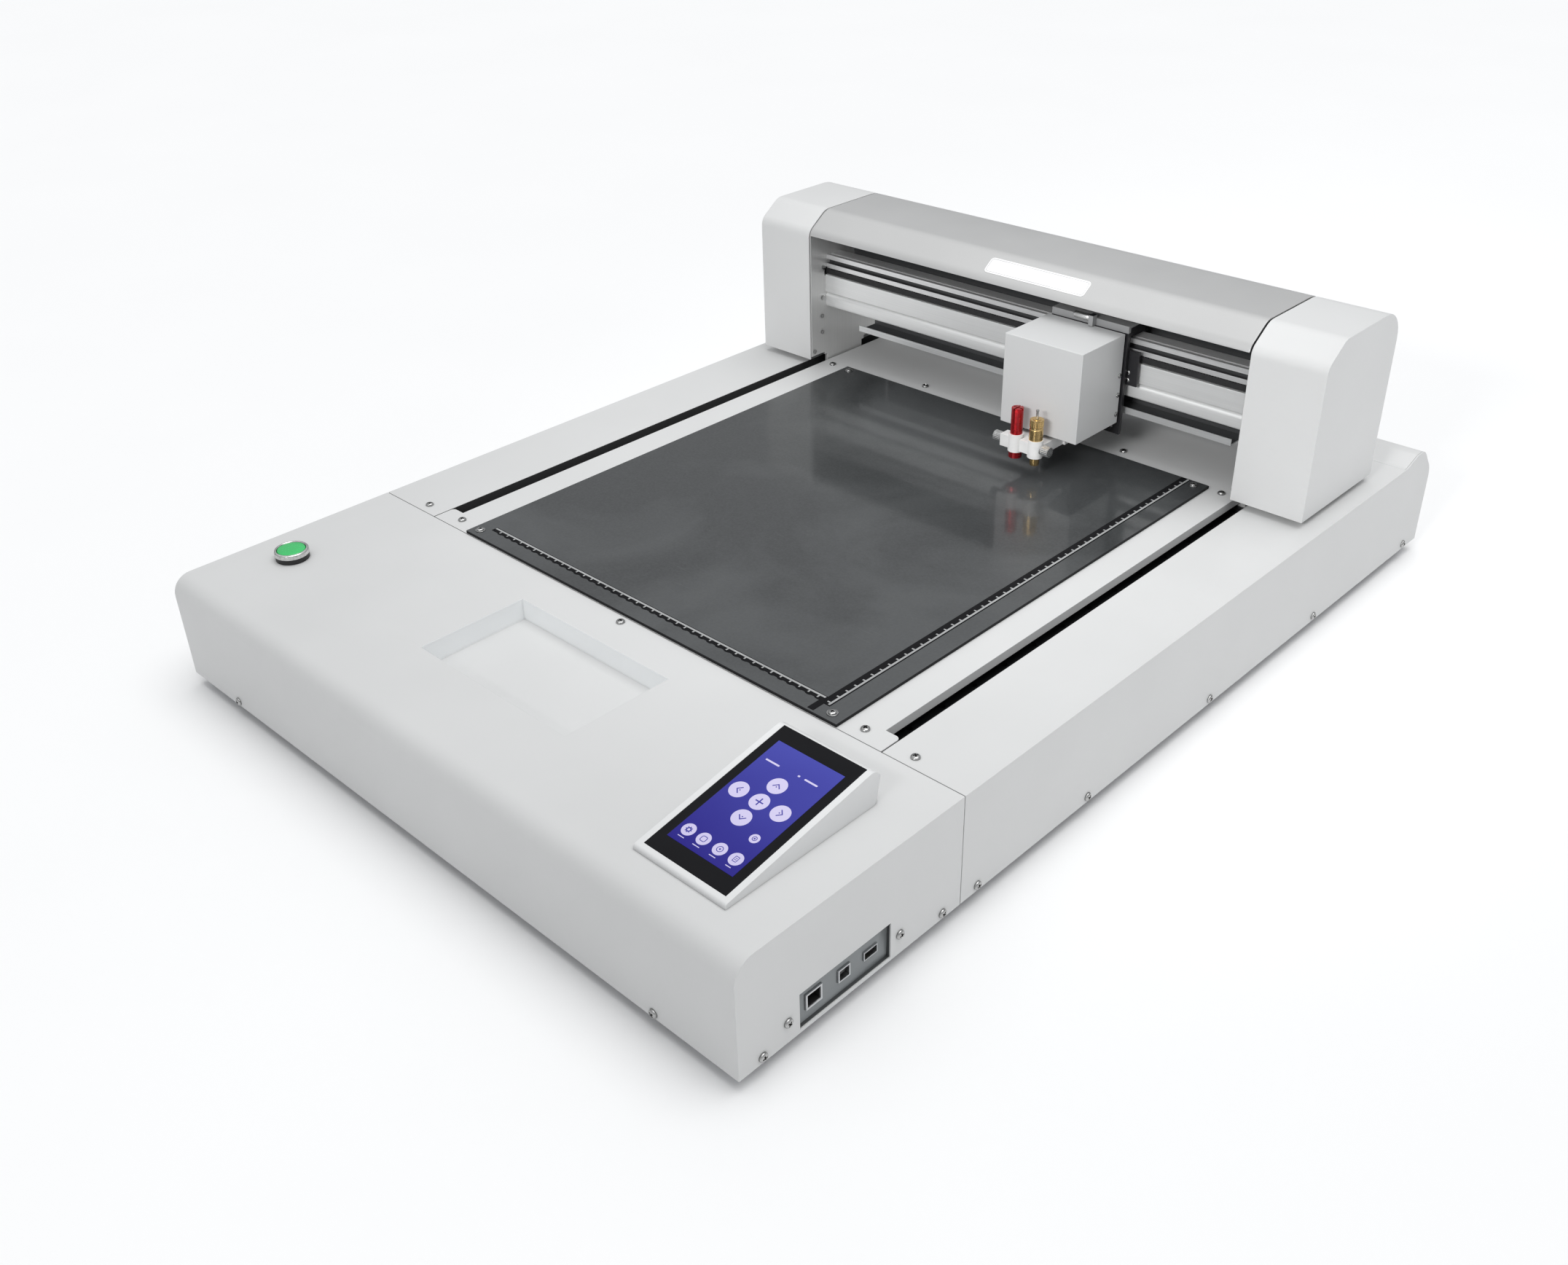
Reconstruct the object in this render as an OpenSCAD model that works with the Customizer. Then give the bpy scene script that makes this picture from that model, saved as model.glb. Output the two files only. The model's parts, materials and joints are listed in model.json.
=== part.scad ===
// Flatbed vinyl cutter: a fixed bed with a moving gantry, a tool head and a front console.
// Y is measured from the front face while a sub-part is drawn, then moved so that the middle is at 0.

/* [Overall] */
// Width of the housing, side to side
width = 715; // [705:1:730]
// Depth of the housing, front to back
depth = 980; // [975:1:990]
// Height of the rubber feet
foot_h = 12; // [8:1:16]
// Height of the deck above the ground
deck_z = 112; // [110:1:116]
// Thickness of the sheet metal
sheet = 1.5; // [1:0.1:2]

/* [Console] */
// Depth of the console, from the front face to the seam
console_d = 227; // [222:1:230]
// Radius of the long bend along the front top edge
console_round = 18; // [12:1:24]
// Width of the tool tray
tray_w = 186; // [150:1:200]
// Depth of the tool tray, front to back
tray_d = 104; // [80:1:110]
// Distance from the front face to the tray
tray_front = 84; // [70:1:90]
// How far the tray floor is below the deck
tray_sink = 20; // [12:1:26]
// Distance of the start button from the middle
button_x = 309; // [290:1:320]
// Distance of the start button from the front face
button_y = 94; // [80:1:120]
// Travel of the start button
button_travel = 3; // [1:0.5:3]

/* [Touch screen] */
// Width of the screen pod
pod_w = 89; // [85:1:92]
// Length of the screen pod, front to back
pod_d = 150; // [148:1:155]
// Distance from the middle to the middle of the pod
pod_x = 273; // [260:1:280]
// Distance from the front face to the pod
pod_front = 33; // [30:1:40]
// Rise of the pod's face at its front edge
pod_low = 4.2; // [4:0.1:8]
// Rise of the pod's face at its rear edge
pod_high = 31; // [24:1:36]

/* [Bed] */
// Half of the distance between the two long slots' inner edges
pan_half = 265; // [264:0.5:265.5]
// Half of the distance between the two side covers
cover_inner = 280; // [279:0.5:282]
// Distance from the front face to the front end of the slots
slot_front = 250; // [245:1:255]
// Distance from the front face to the rear end of the slots
slot_rear = 905; // [895:1:910]
// Width of the cutting mat
mat_w = 464; // [440:1:480]
// Length of the cutting mat
mat_d = 530; // [500:1:532]
// Thickness of the cutting mat
mat_t = 3; // [2:0.5:3]
// Height of the raised ridge at the rear edge
ridge_h = 7; // [3:0.5:10]

/* [Gantry] */
// Distance from the front face to the gantry when it is parked at the rear
gantry_y = 738; // [736:1:740]
// Depth of the gantry, front to back
gantry_d = 135; // [132:1:138]
// Gap between the gantry and the deck
gantry_gap = 6.5; // [5:0.5:8]
// Height of the top of the gantry above the ground
gantry_top = 286; // [282:1:290]
// Half of the gantry's width
gantry_half = 340.5; // [338:0.5:344]
// Half of the width between the two end covers
cover_mouth = 268; // [267.5:0.5:268.5]

/* [Head] */
// Left side of the head cover, from the middle
head_x = 43.5; // [43:0.5:44]
// Width of the head cover
head_w = 89; // [88:0.5:90]
// Distance from the front face to the head cover
head_y = 680; // [679:0.5:681]
// Depth of the head cover
head_d = 70; // [69:0.5:70]
// Height of the bottom of the head cover
head_bottom = 153; // [152.5:0.5:154]
// Height of the top of the head cover
head_top = 244; // [242:1:246]

/* [Tools] */
// Place of the creasing tool from the middle
crease_x = 75.5; // [75:0.1:76]
// Place of the blade holder from the middle
blade_x = 98.5; // [98:0.1:99]
// Distance from the front face to both tool axes
tool_y = 663; // [662:0.5:664]
// Height of the middle of both clamps
clamp_z = 146; // [145.5:0.1:146.5]

/* [Hidden] */
$fn = 48;

half_w = width / 2;
inner_half = half_w - sheet;      // inside of the outer side walls
seam_gap = 0.6;                   // hairline between neighbouring sheets
under_deck = deck_z - sheet;      // underside of the deck sheets
floor_z = foot_h + sheet;         // top of the base tray's floor
bed_front = console_d + seam_gap;
bed_rear = 917.5;                 // where the deck meets the foot of the ridge
clear = 0.1;                      // clearance between sheets that face each other
fit = 0.05;                       // radial clearance of a running fit

// driven parts under the bed
rail_x = 260;                     // middle of each long rail
rail_w = 15;
rail_h = 10;
rail_pitch = 40;
rail_front = 263;
rail_holes = 16;
rail_base = deck_z - 28;
block_top = rail_base + 16;
beam_top = rail_base;
beam_h = 34;
belt_x = 235;                     // middle of each long belt
belt_z = 75;
drive_y = 900;
idler_y = 290;
pulley_r = 9.2;                   // inside radius of the belt where it wraps a pulley
belt_t = 1.4;
axle_r = 5;

// port opening in the right wall
port_y = [57.5, 149];
port_z = [15, 47];
ports_z = 31;

// front-to-back lines and heights inside the gantry
gantry_low = deck_z + gantry_gap;
plate_t = 4;
plate_in = 267;                   // inner face of each side plate
beam_y = 763;
beam_z = [193, 213];
rail_y = [766, 788];
rail_z = [220, 235];
rail_slot_z = [225, 230];
x_belt_y = 776;
x_belt_z = [213.6, 219.4];
x_pulley_x = 300;

// front-to-back lines inside the head
plate_y = 752;
lift_y = 700;
lift_d = 16;
clamp_h = 18;
clamp_r = 7.5;
boss_l = 7;

// screws on the outside
side_screw_y = [22, 206, 247, 389, 574, 760, 949];
port_screw_y = [46, 158.5];
low_screw_z = foot_h + 6;
front_screw_x = 276;

function unit(v) = v / norm(v);

// arc that rounds the corner c between the points p and q
function corner(p, c, q, r, n) =
    let (u = unit(p - c), w = unit(q - c), half = acos(u * w) / 2)
    let (centre = c + unit(u + w) * r / sin(half))
    let (a = c + u * r / tan(half) - centre, b = c + w * r / tan(half) - centre)
    let (from = atan2(a.y, a.x), to = atan2(b.y, b.x))
    let (turn = to - from > 180 ? to - from - 360 : to - from < -180 ? to - from + 360 : to - from)
    [for (i = [0:n]) centre + r * [cos(from + turn * i / n), sin(from + turn * i / n)]];

// outline through corners given as [x, y, radius]
function rounded(pts, n = 8) = [
    for (i = [0:len(pts) - 1])
        let (k = len(pts), p = pts[(i + k - 1) % k], c = pts[i], q = pts[(i + 1) % k])
        each c[2] == 0 ? [[c.x, c.y]]
            : corner([p.x, p.y], [c.x, c.y], [q.x, q.y], c[2], n)
];

module from_front() {
    translate([0, -depth / 2, 0]) children();
}

module box(lo, hi) {
    translate(lo) cube(hi - lo);
}

// a front-to-back outline drawn out from x = a to x = b
module along_x(a, b) {
    translate([a, 0, 0]) rotate([90, 0, 90]) linear_extrude(b - a) children();
}

module both_sides() {
    children();
    mirror([1, 0, 0]) children();
}

module rod_z(x, y, a, b, r) {
    translate([x, y, a]) cylinder(h = b - a, r = r);
}

module rod_x(a, b, y, z, r) {
    translate([a, y, z]) rotate([0, 90, 0]) cylinder(h = b - a, r = r);
}

module screw_up(x, y, z) {
    rod_z(x, y, z, z + 1.6, 3.8);
    rod_z(x, y, z + 1.6, z + 2.4, 2.9);
}

module screw_side(x, y, z, way) {
    translate([x, y, z]) rotate([0, 90 * way, 0]) union() {
        cylinder(h = 1.6, r = 3.8);
        translate([0, 0, 1.6]) cylinder(h = 0.8, r = 2.9);
    }
}

module screw_facing(x, y, z, way) {
    translate([x, y, z]) rotate([90 * way, 0, 0]) union() {
        cylinder(h = 1.6, r = 3.8);
        translate([0, 0, 1.6]) cylinder(h = 0.8, r = 2.9);
    }
}

// ---- base ----

module base_tray() {
    lip = 16;
    color("gray") from_front() difference() {
        box([-inner_half + clear, sheet + clear, foot_h],
            [inner_half - clear, depth - sheet - clear, floor_z + lip]);
        box([-inner_half + clear + sheet, 2 * sheet + clear, floor_z],
            [inner_half - clear - sheet, depth - 2 * sheet - clear, floor_z + lip + 1]);
        box([inner_half - 3, port_y[0] - 5, floor_z], [inner_half + 1, port_y[1] + 5, floor_z + lip + 1]);
    }
}

module rubber_feet() {
    color("#202020") from_front()
        for (x = [-280, 280], y = [60, depth / 2, depth - 60]) rod_z(x, y, 0, foot_h, 16);
}

module frame_beams() {
    wall = 2;
    cross_y = [235, 930];
    beam_rear = 960;
    low = beam_top - beam_h;
    color("silver") from_front() {
        both_sides() difference() {
            box([245, cross_y[0], low], [275, beam_rear, beam_top]);
            box([245 + wall, cross_y[0] - 1, low + wall], [275 - wall, beam_rear + 1, beam_top - wall]);
        }
        for (y = cross_y) difference() {
            box([-245, y, low], [245, y + 30, beam_top - 6]);
            box([-246, y + wall, low + wall], [246, y + 30 - wall, beam_top - 6 - wall]);
        }
        both_sides() for (y = [cross_y[0], depth / 2, cross_y[1]])
            box([252, y, floor_z], [268, y + 30, low]);
    }
}

module y_rails() {
    end = rail_front + rail_holes * rail_pitch;
    color("#26282b") from_front() both_sides() difference() {
        box([rail_x - rail_w / 2, rail_front, rail_base],
            [rail_x + rail_w / 2, end, rail_base + rail_h]);
        for (side = [-1, 1])
            translate([rail_x + side * rail_w / 2, rail_front - 1, rail_base + 5])
                cube([2, 2 * (end - rail_front + 2), 2.4], center = true);
        for (i = [0:rail_holes - 1]) {
            hole_y = rail_front + rail_pitch / 2 + i * rail_pitch;
            rod_z(rail_x, hole_y, rail_base - 1, rail_base + rail_h + 1, 1.75);
            rod_z(rail_x, hole_y, rail_base + rail_h - 4.5, rail_base + rail_h + 1, 3);
        }
    }
}

// ---- console ----

function console_outline(inset, low) = rounded([
    [inset, low, 0], [inset, deck_z - inset, console_round - inset],
    [console_d - inset, deck_z - inset, 0], [console_d - inset, low, 0]
], 10);

module console_housing() {
    tray_low = deck_z - tray_sink - sheet;
    color("#eceae6") from_front() difference() {
        union() {
            difference() {
                along_x(-half_w, half_w) polygon(console_outline(0, foot_h));
                along_x(-inner_half, inner_half) polygon(console_outline(sheet, foot_h - 1));
                box([-inner_half, console_d - 10, foot_h - 1], [inner_half, console_d + 1, deck_z - 14]);
            }
            box([-tray_w / 2 - sheet, tray_front - sheet, tray_low],
                [tray_w / 2 + sheet, tray_front + tray_d + sheet, deck_z - sheet / 2]);
        }
        box([-tray_w / 2, tray_front, deck_z - tray_sink],
            [tray_w / 2, tray_front + tray_d, deck_z + 1]);
        rod_z(-button_x, button_y, deck_z - 5, deck_z + 1, 11);
        box([inner_half - 1, port_y[0], port_z[0]], [half_w + 1, port_y[1], port_z[1]]);
        box([pod_x - 20, 90, deck_z - 5], [pod_x + 20, 130, deck_z + 1]);
    }
}

function pod_face(y) = deck_z + pod_low + (y - pod_front) * (pod_high - pod_low) / pod_d;

function pod_outline(inset) = rounded([
    [pod_front + inset, deck_z, 0],
    [pod_front + inset, pod_face(pod_front) - inset, 3 - inset],
    [pod_front + pod_d - inset, pod_face(pod_front + pod_d) - inset, 9 - inset],
    [pod_front + pod_d - inset, deck_z, 0]
]);

// flat plate that follows the pod's sloped face, between two depths under it
module face_plate(w, y0, y1, over, under) {
    along_x(pod_x - w / 2, pod_x + w / 2) polygon([
        [y0, pod_face(y0) - under], [y1, pod_face(y1) - under],
        [y1, pod_face(y1) + over], [y0, pod_face(y0) + over]
    ]);
}

glass_y = [38.6, 174.8];
glass_w = 78.5;
shown_y = [52.4, 161.1];
shown_w = 62.8;

module screen_pod() {
    color("#eceae6") from_front() difference() {
        along_x(pod_x - pod_w / 2, pod_x + pod_w / 2) polygon(pod_outline(0));
        face_plate(glass_w + 2 * clear, glass_y[0] - clear, glass_y[1] + clear, 2, 2.1);
        box([pod_x - 20, 90, deck_z - 1], [pod_x + 20, 130, deck_z + 40]);
    }
}

module screen_glass() {
    color("#0c0d10") from_front() difference() {
        face_plate(glass_w, glass_y[0], glass_y[1], 0.2, 2);
        face_plate(shown_w, shown_y[0], shown_y[1], 2, 0.3);
    }
}

module display_panel() {
    color("#3a3f9c") from_front()
        face_plate(shown_w - 0.1, shown_y[0] + 0.05, shown_y[1] - 0.05, 0.2, 0.25);
}

module button_switch() {
    color("#2a2a2a") from_front() translate([-button_x, button_y, 0]) difference() {
        union() {
            translate([0, 0, 78]) cylinder(h = deck_z - 78, r = 11 - fit);
            translate([0, 0, deck_z]) cylinder(h = 6, r = 15);
            translate([0, 0, deck_z + 6]) cylinder(h = 3.5, r = 15.6);
        }
        translate([0, 0, deck_z + 1]) cylinder(h = 20, r = 13);
    }
}

module button_cap() {
    color("#1f9d3a") from_front() translate([-button_x, button_y, deck_z + 1.2 + button_travel]) {
        cylinder(h = 7.6 - button_travel, r = 12.6);
        translate([0, 0, 7.6 - button_travel]) cylinder(h = 1.2, r1 = 12.6, r2 = 11.4);
    }
}

module port_plate() {
    y = port_y;
    color("#9a9c9d") from_front() difference() {
        box([inner_half - 4, y[0] - 3, port_z[0] - 1], [inner_half, y[1] + 3, port_z[1] + 3]);
        box([inner_half - 2.5, y[0], port_z[0]], [inner_half + 1, y[1], port_z[1]]);
        box([inner_half - 12, 66 - clear, ports_z - 7 - clear], [half_w, 82 + clear, ports_z + 7 + clear]);
        box([inner_half - 12, 98 - clear, ports_z - 5.6 - clear], [half_w, 110 + clear, ports_z + 5.6 + clear]);
        box([inner_half - 12, 124 - clear, ports_z - 3.8 - clear], [half_w, 138 + clear, ports_z + 3.8 + clear]);
    }
}

// metal socket shell with an open mouth towards +X
module socket(y0, y1, h, wall, back) {
    difference() {
        box([inner_half - back, y0, ports_z - h], [inner_half - 1, y1, ports_z + h]);
        box([inner_half - back + 4, y0 + wall, ports_z - h + wall],
            [inner_half, y1 - wall, ports_z + h - wall]);
    }
}

module ethernet_socket() {
    color("silver") from_front() socket(66, 82, 7, 1.6, 26);
}

module usb_b_socket() {
    color("silver") from_front() socket(98, 110, 5.6, 1.2, 24);
}

module usb_a_socket() {
    color("silver") from_front() socket(124, 138, 3.8, 0.7, 22);
}

// ---- covers ----

function ridge_outline(inset, over) = rounded([
    [bed_rear - over, deck_z - inset, 0],
    [bed_rear + 4, deck_z - inset, 10],
    [bed_rear + 25, deck_z + ridge_h - inset, 8 + 2 * inset],
    [bed_rear + 40, deck_z + ridge_h - inset, 14 - inset],
    [depth - inset, deck_z - 20, 26 - inset],
    [depth - inset, foot_h - over, 0],
    [bed_rear - over, foot_h - over, 0]
], 7);

module side_cover() {
    difference() {
        union() {
            box([cover_inner + seam_gap, bed_front, foot_h], [half_w, bed_rear + 1, deck_z]);
            along_x(inner_half, half_w) polygon(ridge_outline(0, 0));
        }
        box([cover_inner + seam_gap + sheet, bed_front - 1, foot_h - 1],
            [inner_half, bed_rear + 2, under_deck]);
        box([0, bed_front - 1, foot_h - 1], [inner_half, bed_rear + 2, deck_z - 12]);
        box([0, bed_rear, foot_h - 1], [inner_half, depth + 1, deck_z + ridge_h + 1]);
    }
}

module left_cover() {
    color("#eceae6") from_front() mirror([1, 0, 0]) side_cover();
}

module right_cover() {
    color("#eceae6") from_front() side_cover();
}

module rear_cover() {
    edge = inner_half - clear;
    color("#eceae6") from_front() difference() {
        along_x(-edge, edge) polygon(ridge_outline(0, 0));
        along_x(-edge - 1, edge + 1) polygon(ridge_outline(sheet, 5));
        box([230 - 14.2, depth - 5, 40 - 10.2], [230 + 14.2, depth + 1, 40 + 10.2]);
    }
}

module power_inlet() {
    color("#1a1a1a") from_front() difference() {
        box([230 - 14, depth - 24, 40 - 10], [230 + 14, depth, 40 + 10]);
        box([230 - 11, depth - 18, 40 - 7], [230 + 11, depth + 1, 40 + 7]);
    }
}

// ---- bed ----

module bed_pan() {
    tab = 4;
    half = cover_inner - seam_gap;
    color("#eceae6") from_front() {
        difference() {
            box([-half, bed_front, under_deck], [half, bed_rear - seam_gap, deck_z]);
            both_sides() box([pan_half, slot_front, under_deck - 1], [half + 1, slot_rear, deck_z + 1]);
            both_sides() for (y = [slot_front, slot_rear]) difference() {
                box([half - tab, y - tab, under_deck - 1], [half + 1, y + tab, deck_z + 1]);
                translate([half - tab, y + (y == slot_front ? -tab : tab), under_deck - 2])
                    cylinder(h = 6, r = tab);
                box([0, y - (y == slot_front ? 30 : -tab), 0], [half + 1, y + (y == slot_front ? -tab : 30), 200]);
            }
        }
        both_sides() box([pan_half - sheet, slot_front, under_deck - 7], [pan_half, slot_rear, under_deck]);
    }
}

mat_left = -228.5;
mat_rear = bed_front + mat_d;

module cutting_mat() {
    color("#55585a") from_front()
        box([mat_left, bed_front, deck_z], [mat_left + mat_w, mat_rear, deck_z + mat_t]);
}

module rulers() {
    edge = 216;
    front = 241.7;
    top = deck_z + mat_t;
    strip = 0.4;
    color("black") from_front() {
        box([edge - 9.5, front, top], [edge, mat_rear - 1, top + strip]);
        box([mat_left + 18, front, top], [edge - 9.6, front + 8.5, top + strip]);
    }
}

module screws() {
    top = deck_z;
    mat_top = deck_z + mat_t;
    color("silver") from_front() {
        screw_up(0, 219, top);
        for (x = [-253, 253]) screw_up(x, 240.5, top);
        for (x = [-303, 303]) screw_up(x, 238.5, top);
        for (x = [-250, 250]) screw_up(x, 756, top);
        for (x = [-128.5, 128.5]) screw_up(x, 775, top);
        for (x = [-218.5, 223.5], y = [236.6, 748.5]) {
            rod_z(x, y, mat_top, mat_top + 0.8, 4.6);
            rod_z(x, y, mat_top + 0.8, mat_top + 2.2, 3.4);
        }
        for (y = side_screw_y, way = [-1, 1]) screw_side(way * half_w, y, low_screw_z, way);
        for (y = port_screw_y) screw_side(half_w, y, foot_h + 18.5, 1);
        for (x = [-front_screw_x, front_screw_x]) screw_facing(x, 0, low_screw_z - 1, 1);
        for (x = [-front_screw_x, 0, front_screw_x]) screw_facing(x, depth, low_screw_z, -1);
    }
}

// ---- long drive ----

// flat closed loop of belt in the XY plane around two wheels on X
module belt_loop(a, b, r, h) {
    difference() {
        union() {
            translate([a, 0, 0]) cylinder(h = h, r = r + belt_t);
            translate([b, 0, 0]) cylinder(h = h, r = r + belt_t);
            translate([a, -r - belt_t, 0]) cube([b - a, 2 * (r + belt_t), h]);
        }
        translate([a, 0, -1]) cylinder(h = h + 2, r = r);
        translate([b, 0, -1]) cylinder(h = h + 2, r = r);
        translate([a, -r, -1]) cube([b - a, 2 * r, h + 2]);
    }
}

module y_belts() {
    color("#151515") from_front() for (x = [-belt_x, belt_x])
        translate([x - 5, 0, belt_z]) rotate([90, 0, 90]) belt_loop(idler_y, drive_y, pulley_r, 10);
}

module y_motor() {
    color("#333333") from_front() difference() {
        union() {
            box([-28, drive_y - 28, belt_z - 28], [28, drive_y + 28, belt_z + 28]);
            box([-20, drive_y - 12, floor_z], [20, drive_y + 12, belt_z - 28]);
        }
        rod_x(-30, 30, drive_y, belt_z, axle_r + fit);
    }
}

module shaft_brackets() {
    color("silver") from_front() both_sides() {
        difference() {
            box([214, drive_y - 12, floor_z], [222, drive_y + 12, belt_z + 13]);
            rod_x(213, 223, drive_y, belt_z, axle_r + fit);
        }
        difference() {
            box([214, idler_y - 12, floor_z], [222, idler_y + 12, belt_z + 13]);
            rod_x(213, 223, idler_y, belt_z, 4 + fit);
        }
    }
}

// toothed wheel for the belt, with a flange on each side
module belt_wheel(r, h) {
    difference() {
        cylinder(h = h, r = r - 0.3);
        for (i = [0:23]) rotate([0, 0, 15 * i]) translate([r + 0.15, 0, -1]) cylinder(h = h + 2, r = 0.75);
    }
    translate([0, 0, -1]) cylinder(h = 1, r = r + 2);
    translate([0, 0, h]) cylinder(h = 1, r = r + 2);
}

module y_drive_shaft() {
    color("silver") from_front() {
        rod_x(-243, 243, drive_y, belt_z, axle_r);
        for (x = [-belt_x, belt_x])
            translate([x - 5.4, drive_y, belt_z]) rotate([0, 90, 0]) belt_wheel(pulley_r, 10.8);
    }
}

module y_idler() {
    rod_x(212, 242.5, idler_y, belt_z, 4);
    translate([belt_x - 5.4, idler_y, belt_z]) rotate([0, 90, 0]) belt_wheel(pulley_r, 10.8);
}

module y_idler_left() {
    color("silver") from_front() mirror([1, 0, 0]) y_idler();
}

module y_idler_right() {
    color("silver") from_front() y_idler();
}

module power_supply() {
    color("silver") from_front() difference() {
        box([-170, 560, floor_z], [-60, 760, floor_z + 42]);
        box([-168, 562, floor_z - 1], [-62, 758, floor_z + 40]);
    }
}

module control_board() {
    color("darkgreen") from_front() {
        box([120, 60, floor_z + 10], [260, 160, floor_z + 11.6]);
        for (x = [130, 170, 210], y = [80, 115])
            box([x, y, floor_z + 11.6], [x + 24, y + 22, floor_z + 14]);
        for (x = [124, 256], y = [64, 156]) rod_z(x, y, floor_z, floor_z + 10, 3);
    }
}

// ---- gantry ----

function gantry_outline(inset) =
    let (y0 = gantry_y + inset, y1 = gantry_y + gantry_d - inset, top = gantry_top - inset)
    rounded([
        [y0, gantry_low, 0],
        [y0, gantry_top - 19 - 0.4 * inset, 14 - inset],
        [gantry_y + 27 + 0.4 * inset, top, 20 - inset],
        [y1, top, 31 - inset],
        [y1, gantry_low, 0]
    ]);

module end_cover() {
    difference() {
        along_x(cover_mouth, gantry_half) polygon(gantry_outline(0));
        difference() {
            along_x(cover_mouth - 1, gantry_half - sheet) polygon(gantry_outline(sheet));
            box([cover_mouth + 6, gantry_y, 0], [gantry_half, gantry_y + gantry_d, gantry_low + sheet]);
        }
    }
}

module left_end_cover() {
    color("#eceae6") from_front() mirror([1, 0, 0]) end_cover();
}

module right_end_cover() {
    color("#eceae6") from_front() end_cover();
}

// steel plate that stands on a rail block and carries one end of the beam
module side_plate() {
    color("#b9bbbb") {
        difference() {
            along_x(plate_in, plate_in + plate_t) polygon(gantry_outline(sheet + 0.4));
            box([0, gantry_y - 1, 0], [300, gantry_y + 24, gantry_low + 3]);
            box([0, gantry_y + 91, 0], [300, gantry_y + gantry_d + 1, gantry_low + 4]);
            box([0, x_belt_y - 14, x_belt_z[0] - 1.8], [300, x_belt_y + 14, x_belt_z[1] + 1.8]);
        }
        box([plate_in, 766, block_top], [plate_in + plate_t, 825, gantry_low + 1]);
        box([250, 766, block_top], [plate_in, 825, block_top + 2.5]);
        box([228, 785, block_top], [250, 805, block_top + 2.5]);
        box([230, 785, belt_z + pulley_r + belt_t + 0.5], [240, 805, block_top]);
        difference() {
            box([plate_in + plate_t, 755, 221.5], [321, 797, 224]);
            rod_z(x_pulley_x, x_belt_y, 221, 225, 2.5 + fit);
        }
    }
}

module left_plate() {
    from_front() mirror([1, 0, 0]) side_plate();
}

module right_plate() {
    from_front() side_plate();
}

module beam_cover() {
    edge = cover_mouth - 2;
    lip = 4.5;
    color("#e2e1dd") from_front() difference() {
        along_x(-edge, edge) polygon(gantry_outline(0));
        along_x(-edge - 1, edge + 1) polygon(gantry_outline(sheet));
        box([-edge - 1, gantry_y - 1, 0], [edge + 1, gantry_y + 40, gantry_top - 19 - lip]);
        box([-edge - 1, gantry_y, 0], [edge + 1, gantry_y + gantry_d + 1, gantry_low + 10]);
    }
}

module beam_back() {
    color("#4a4c4e") from_front() along_x(-plate_in, plate_in) polygon([
        [812, 176], [814, 176], [814, 276], [834, 276], [834, 278], [812, 278]
    ]);
}

module main_beam() {
    wall = 2.5;
    color("#d9dad8") from_front() difference() {
        box([-plate_in, beam_y, beam_z[0]], [plate_in, beam_y + 40, beam_z[1]]);
        box([-plate_in - 1, beam_y + wall, beam_z[0] + wall], [plate_in + 1, beam_y + 40 - wall, beam_z[1] - wall]);
    }
}

module top_extrusion() {
    slot = 4.5;
    slot_h = rail_slot_z[1] - rail_slot_z[0];
    color("#cfd1d2") from_front() along_x(-plate_in, plate_in) difference() {
        translate([rail_y[0], rail_z[0]]) square([rail_y[1] - rail_y[0], rail_z[1] - rail_z[0]]);
        translate([rail_y[0] - 1, rail_slot_z[0]]) square([1 + slot, slot_h]);
        translate([rail_y[1] - slot, rail_slot_z[0]]) square([1 + slot, slot_h]);
        translate([rail_y[0] + 4, rail_z[1] - 3]) square([3, 4]);
        translate([rail_y[0] + 7.5, rail_z[0] + 3.5]) square([7, 7]);
    }
}

module lower_bar() {
    color("#c9cbca") from_front() difference() {
        along_x(-plate_in, plate_in) polygon(rounded([
            [764, 176, 2], [764, beam_z[0], 7], [788, beam_z[0], 0], [788, 176, 2]
        ], 6));
        box([-plate_in - 1, 768, 179], [plate_in + 1, 785, 188]);
    }
}

module cable_channel() {
    floor_low = 159;
    color("#c3c5c5") from_front() along_x(-215, 249) polygon([
        [762, floor_low], [790, floor_low], [790, 176], [788.5, 176],
        [788.5, floor_low + sheet], [763.5, floor_low + sheet], [763.5, 165.5], [762, 165.5]
    ]);
}

module x_belt() {
    color("#151515") from_front() translate([0, x_belt_y, x_belt_z[0]])
        belt_loop(-x_pulley_x, x_pulley_x, pulley_r, x_belt_z[1] - x_belt_z[0]);
}

module x_motor() {
    color("#333333") from_front() difference() {
        box([-321, 755, 224], [-279, 797, 264]);
        rod_z(-x_pulley_x, x_belt_y, 223, 250, 2.5 + fit);
    }
}

module x_wheel(side, top) {
    translate([side * x_pulley_x, x_belt_y, 0]) {
        translate([0, 0, x_belt_z[0] - 0.2]) belt_wheel(pulley_r, x_belt_z[1] - x_belt_z[0] + 0.4);
        translate([0, 0, 214]) cylinder(h = top - 214, r = 2.5);
    }
}

module x_motor_pulley() {
    color("silver") from_front() x_wheel(-1, 248);
}

module x_idler_pulley() {
    color("silver") from_front() x_wheel(1, 226);
}

// two rail blocks, one on each long rail
module y_rail_blocks() {
    gap = 0.25;
    color("#5d6063") from_front() both_sides() difference() {
        box([rail_x - 16, 766, rail_base + 4], [rail_x + 16, 825, block_top]);
        box([rail_x - rail_w / 2 - gap, 765, 0], [rail_x + rail_w / 2 + gap, 826, rail_base + rail_h + gap]);
    }
}

module gantry_screws() {
    color("silver") from_front() both_sides()
        for (p = [[760, 221.5], [758.5, 187], [757, 166], [757, 147], [744, 127]])
            translate([plate_in, p[0], p[1]]) rotate([0, -90, 0]) cylinder(h = 1.2, r = 2.4);
}

// ---- tool head ----

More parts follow.
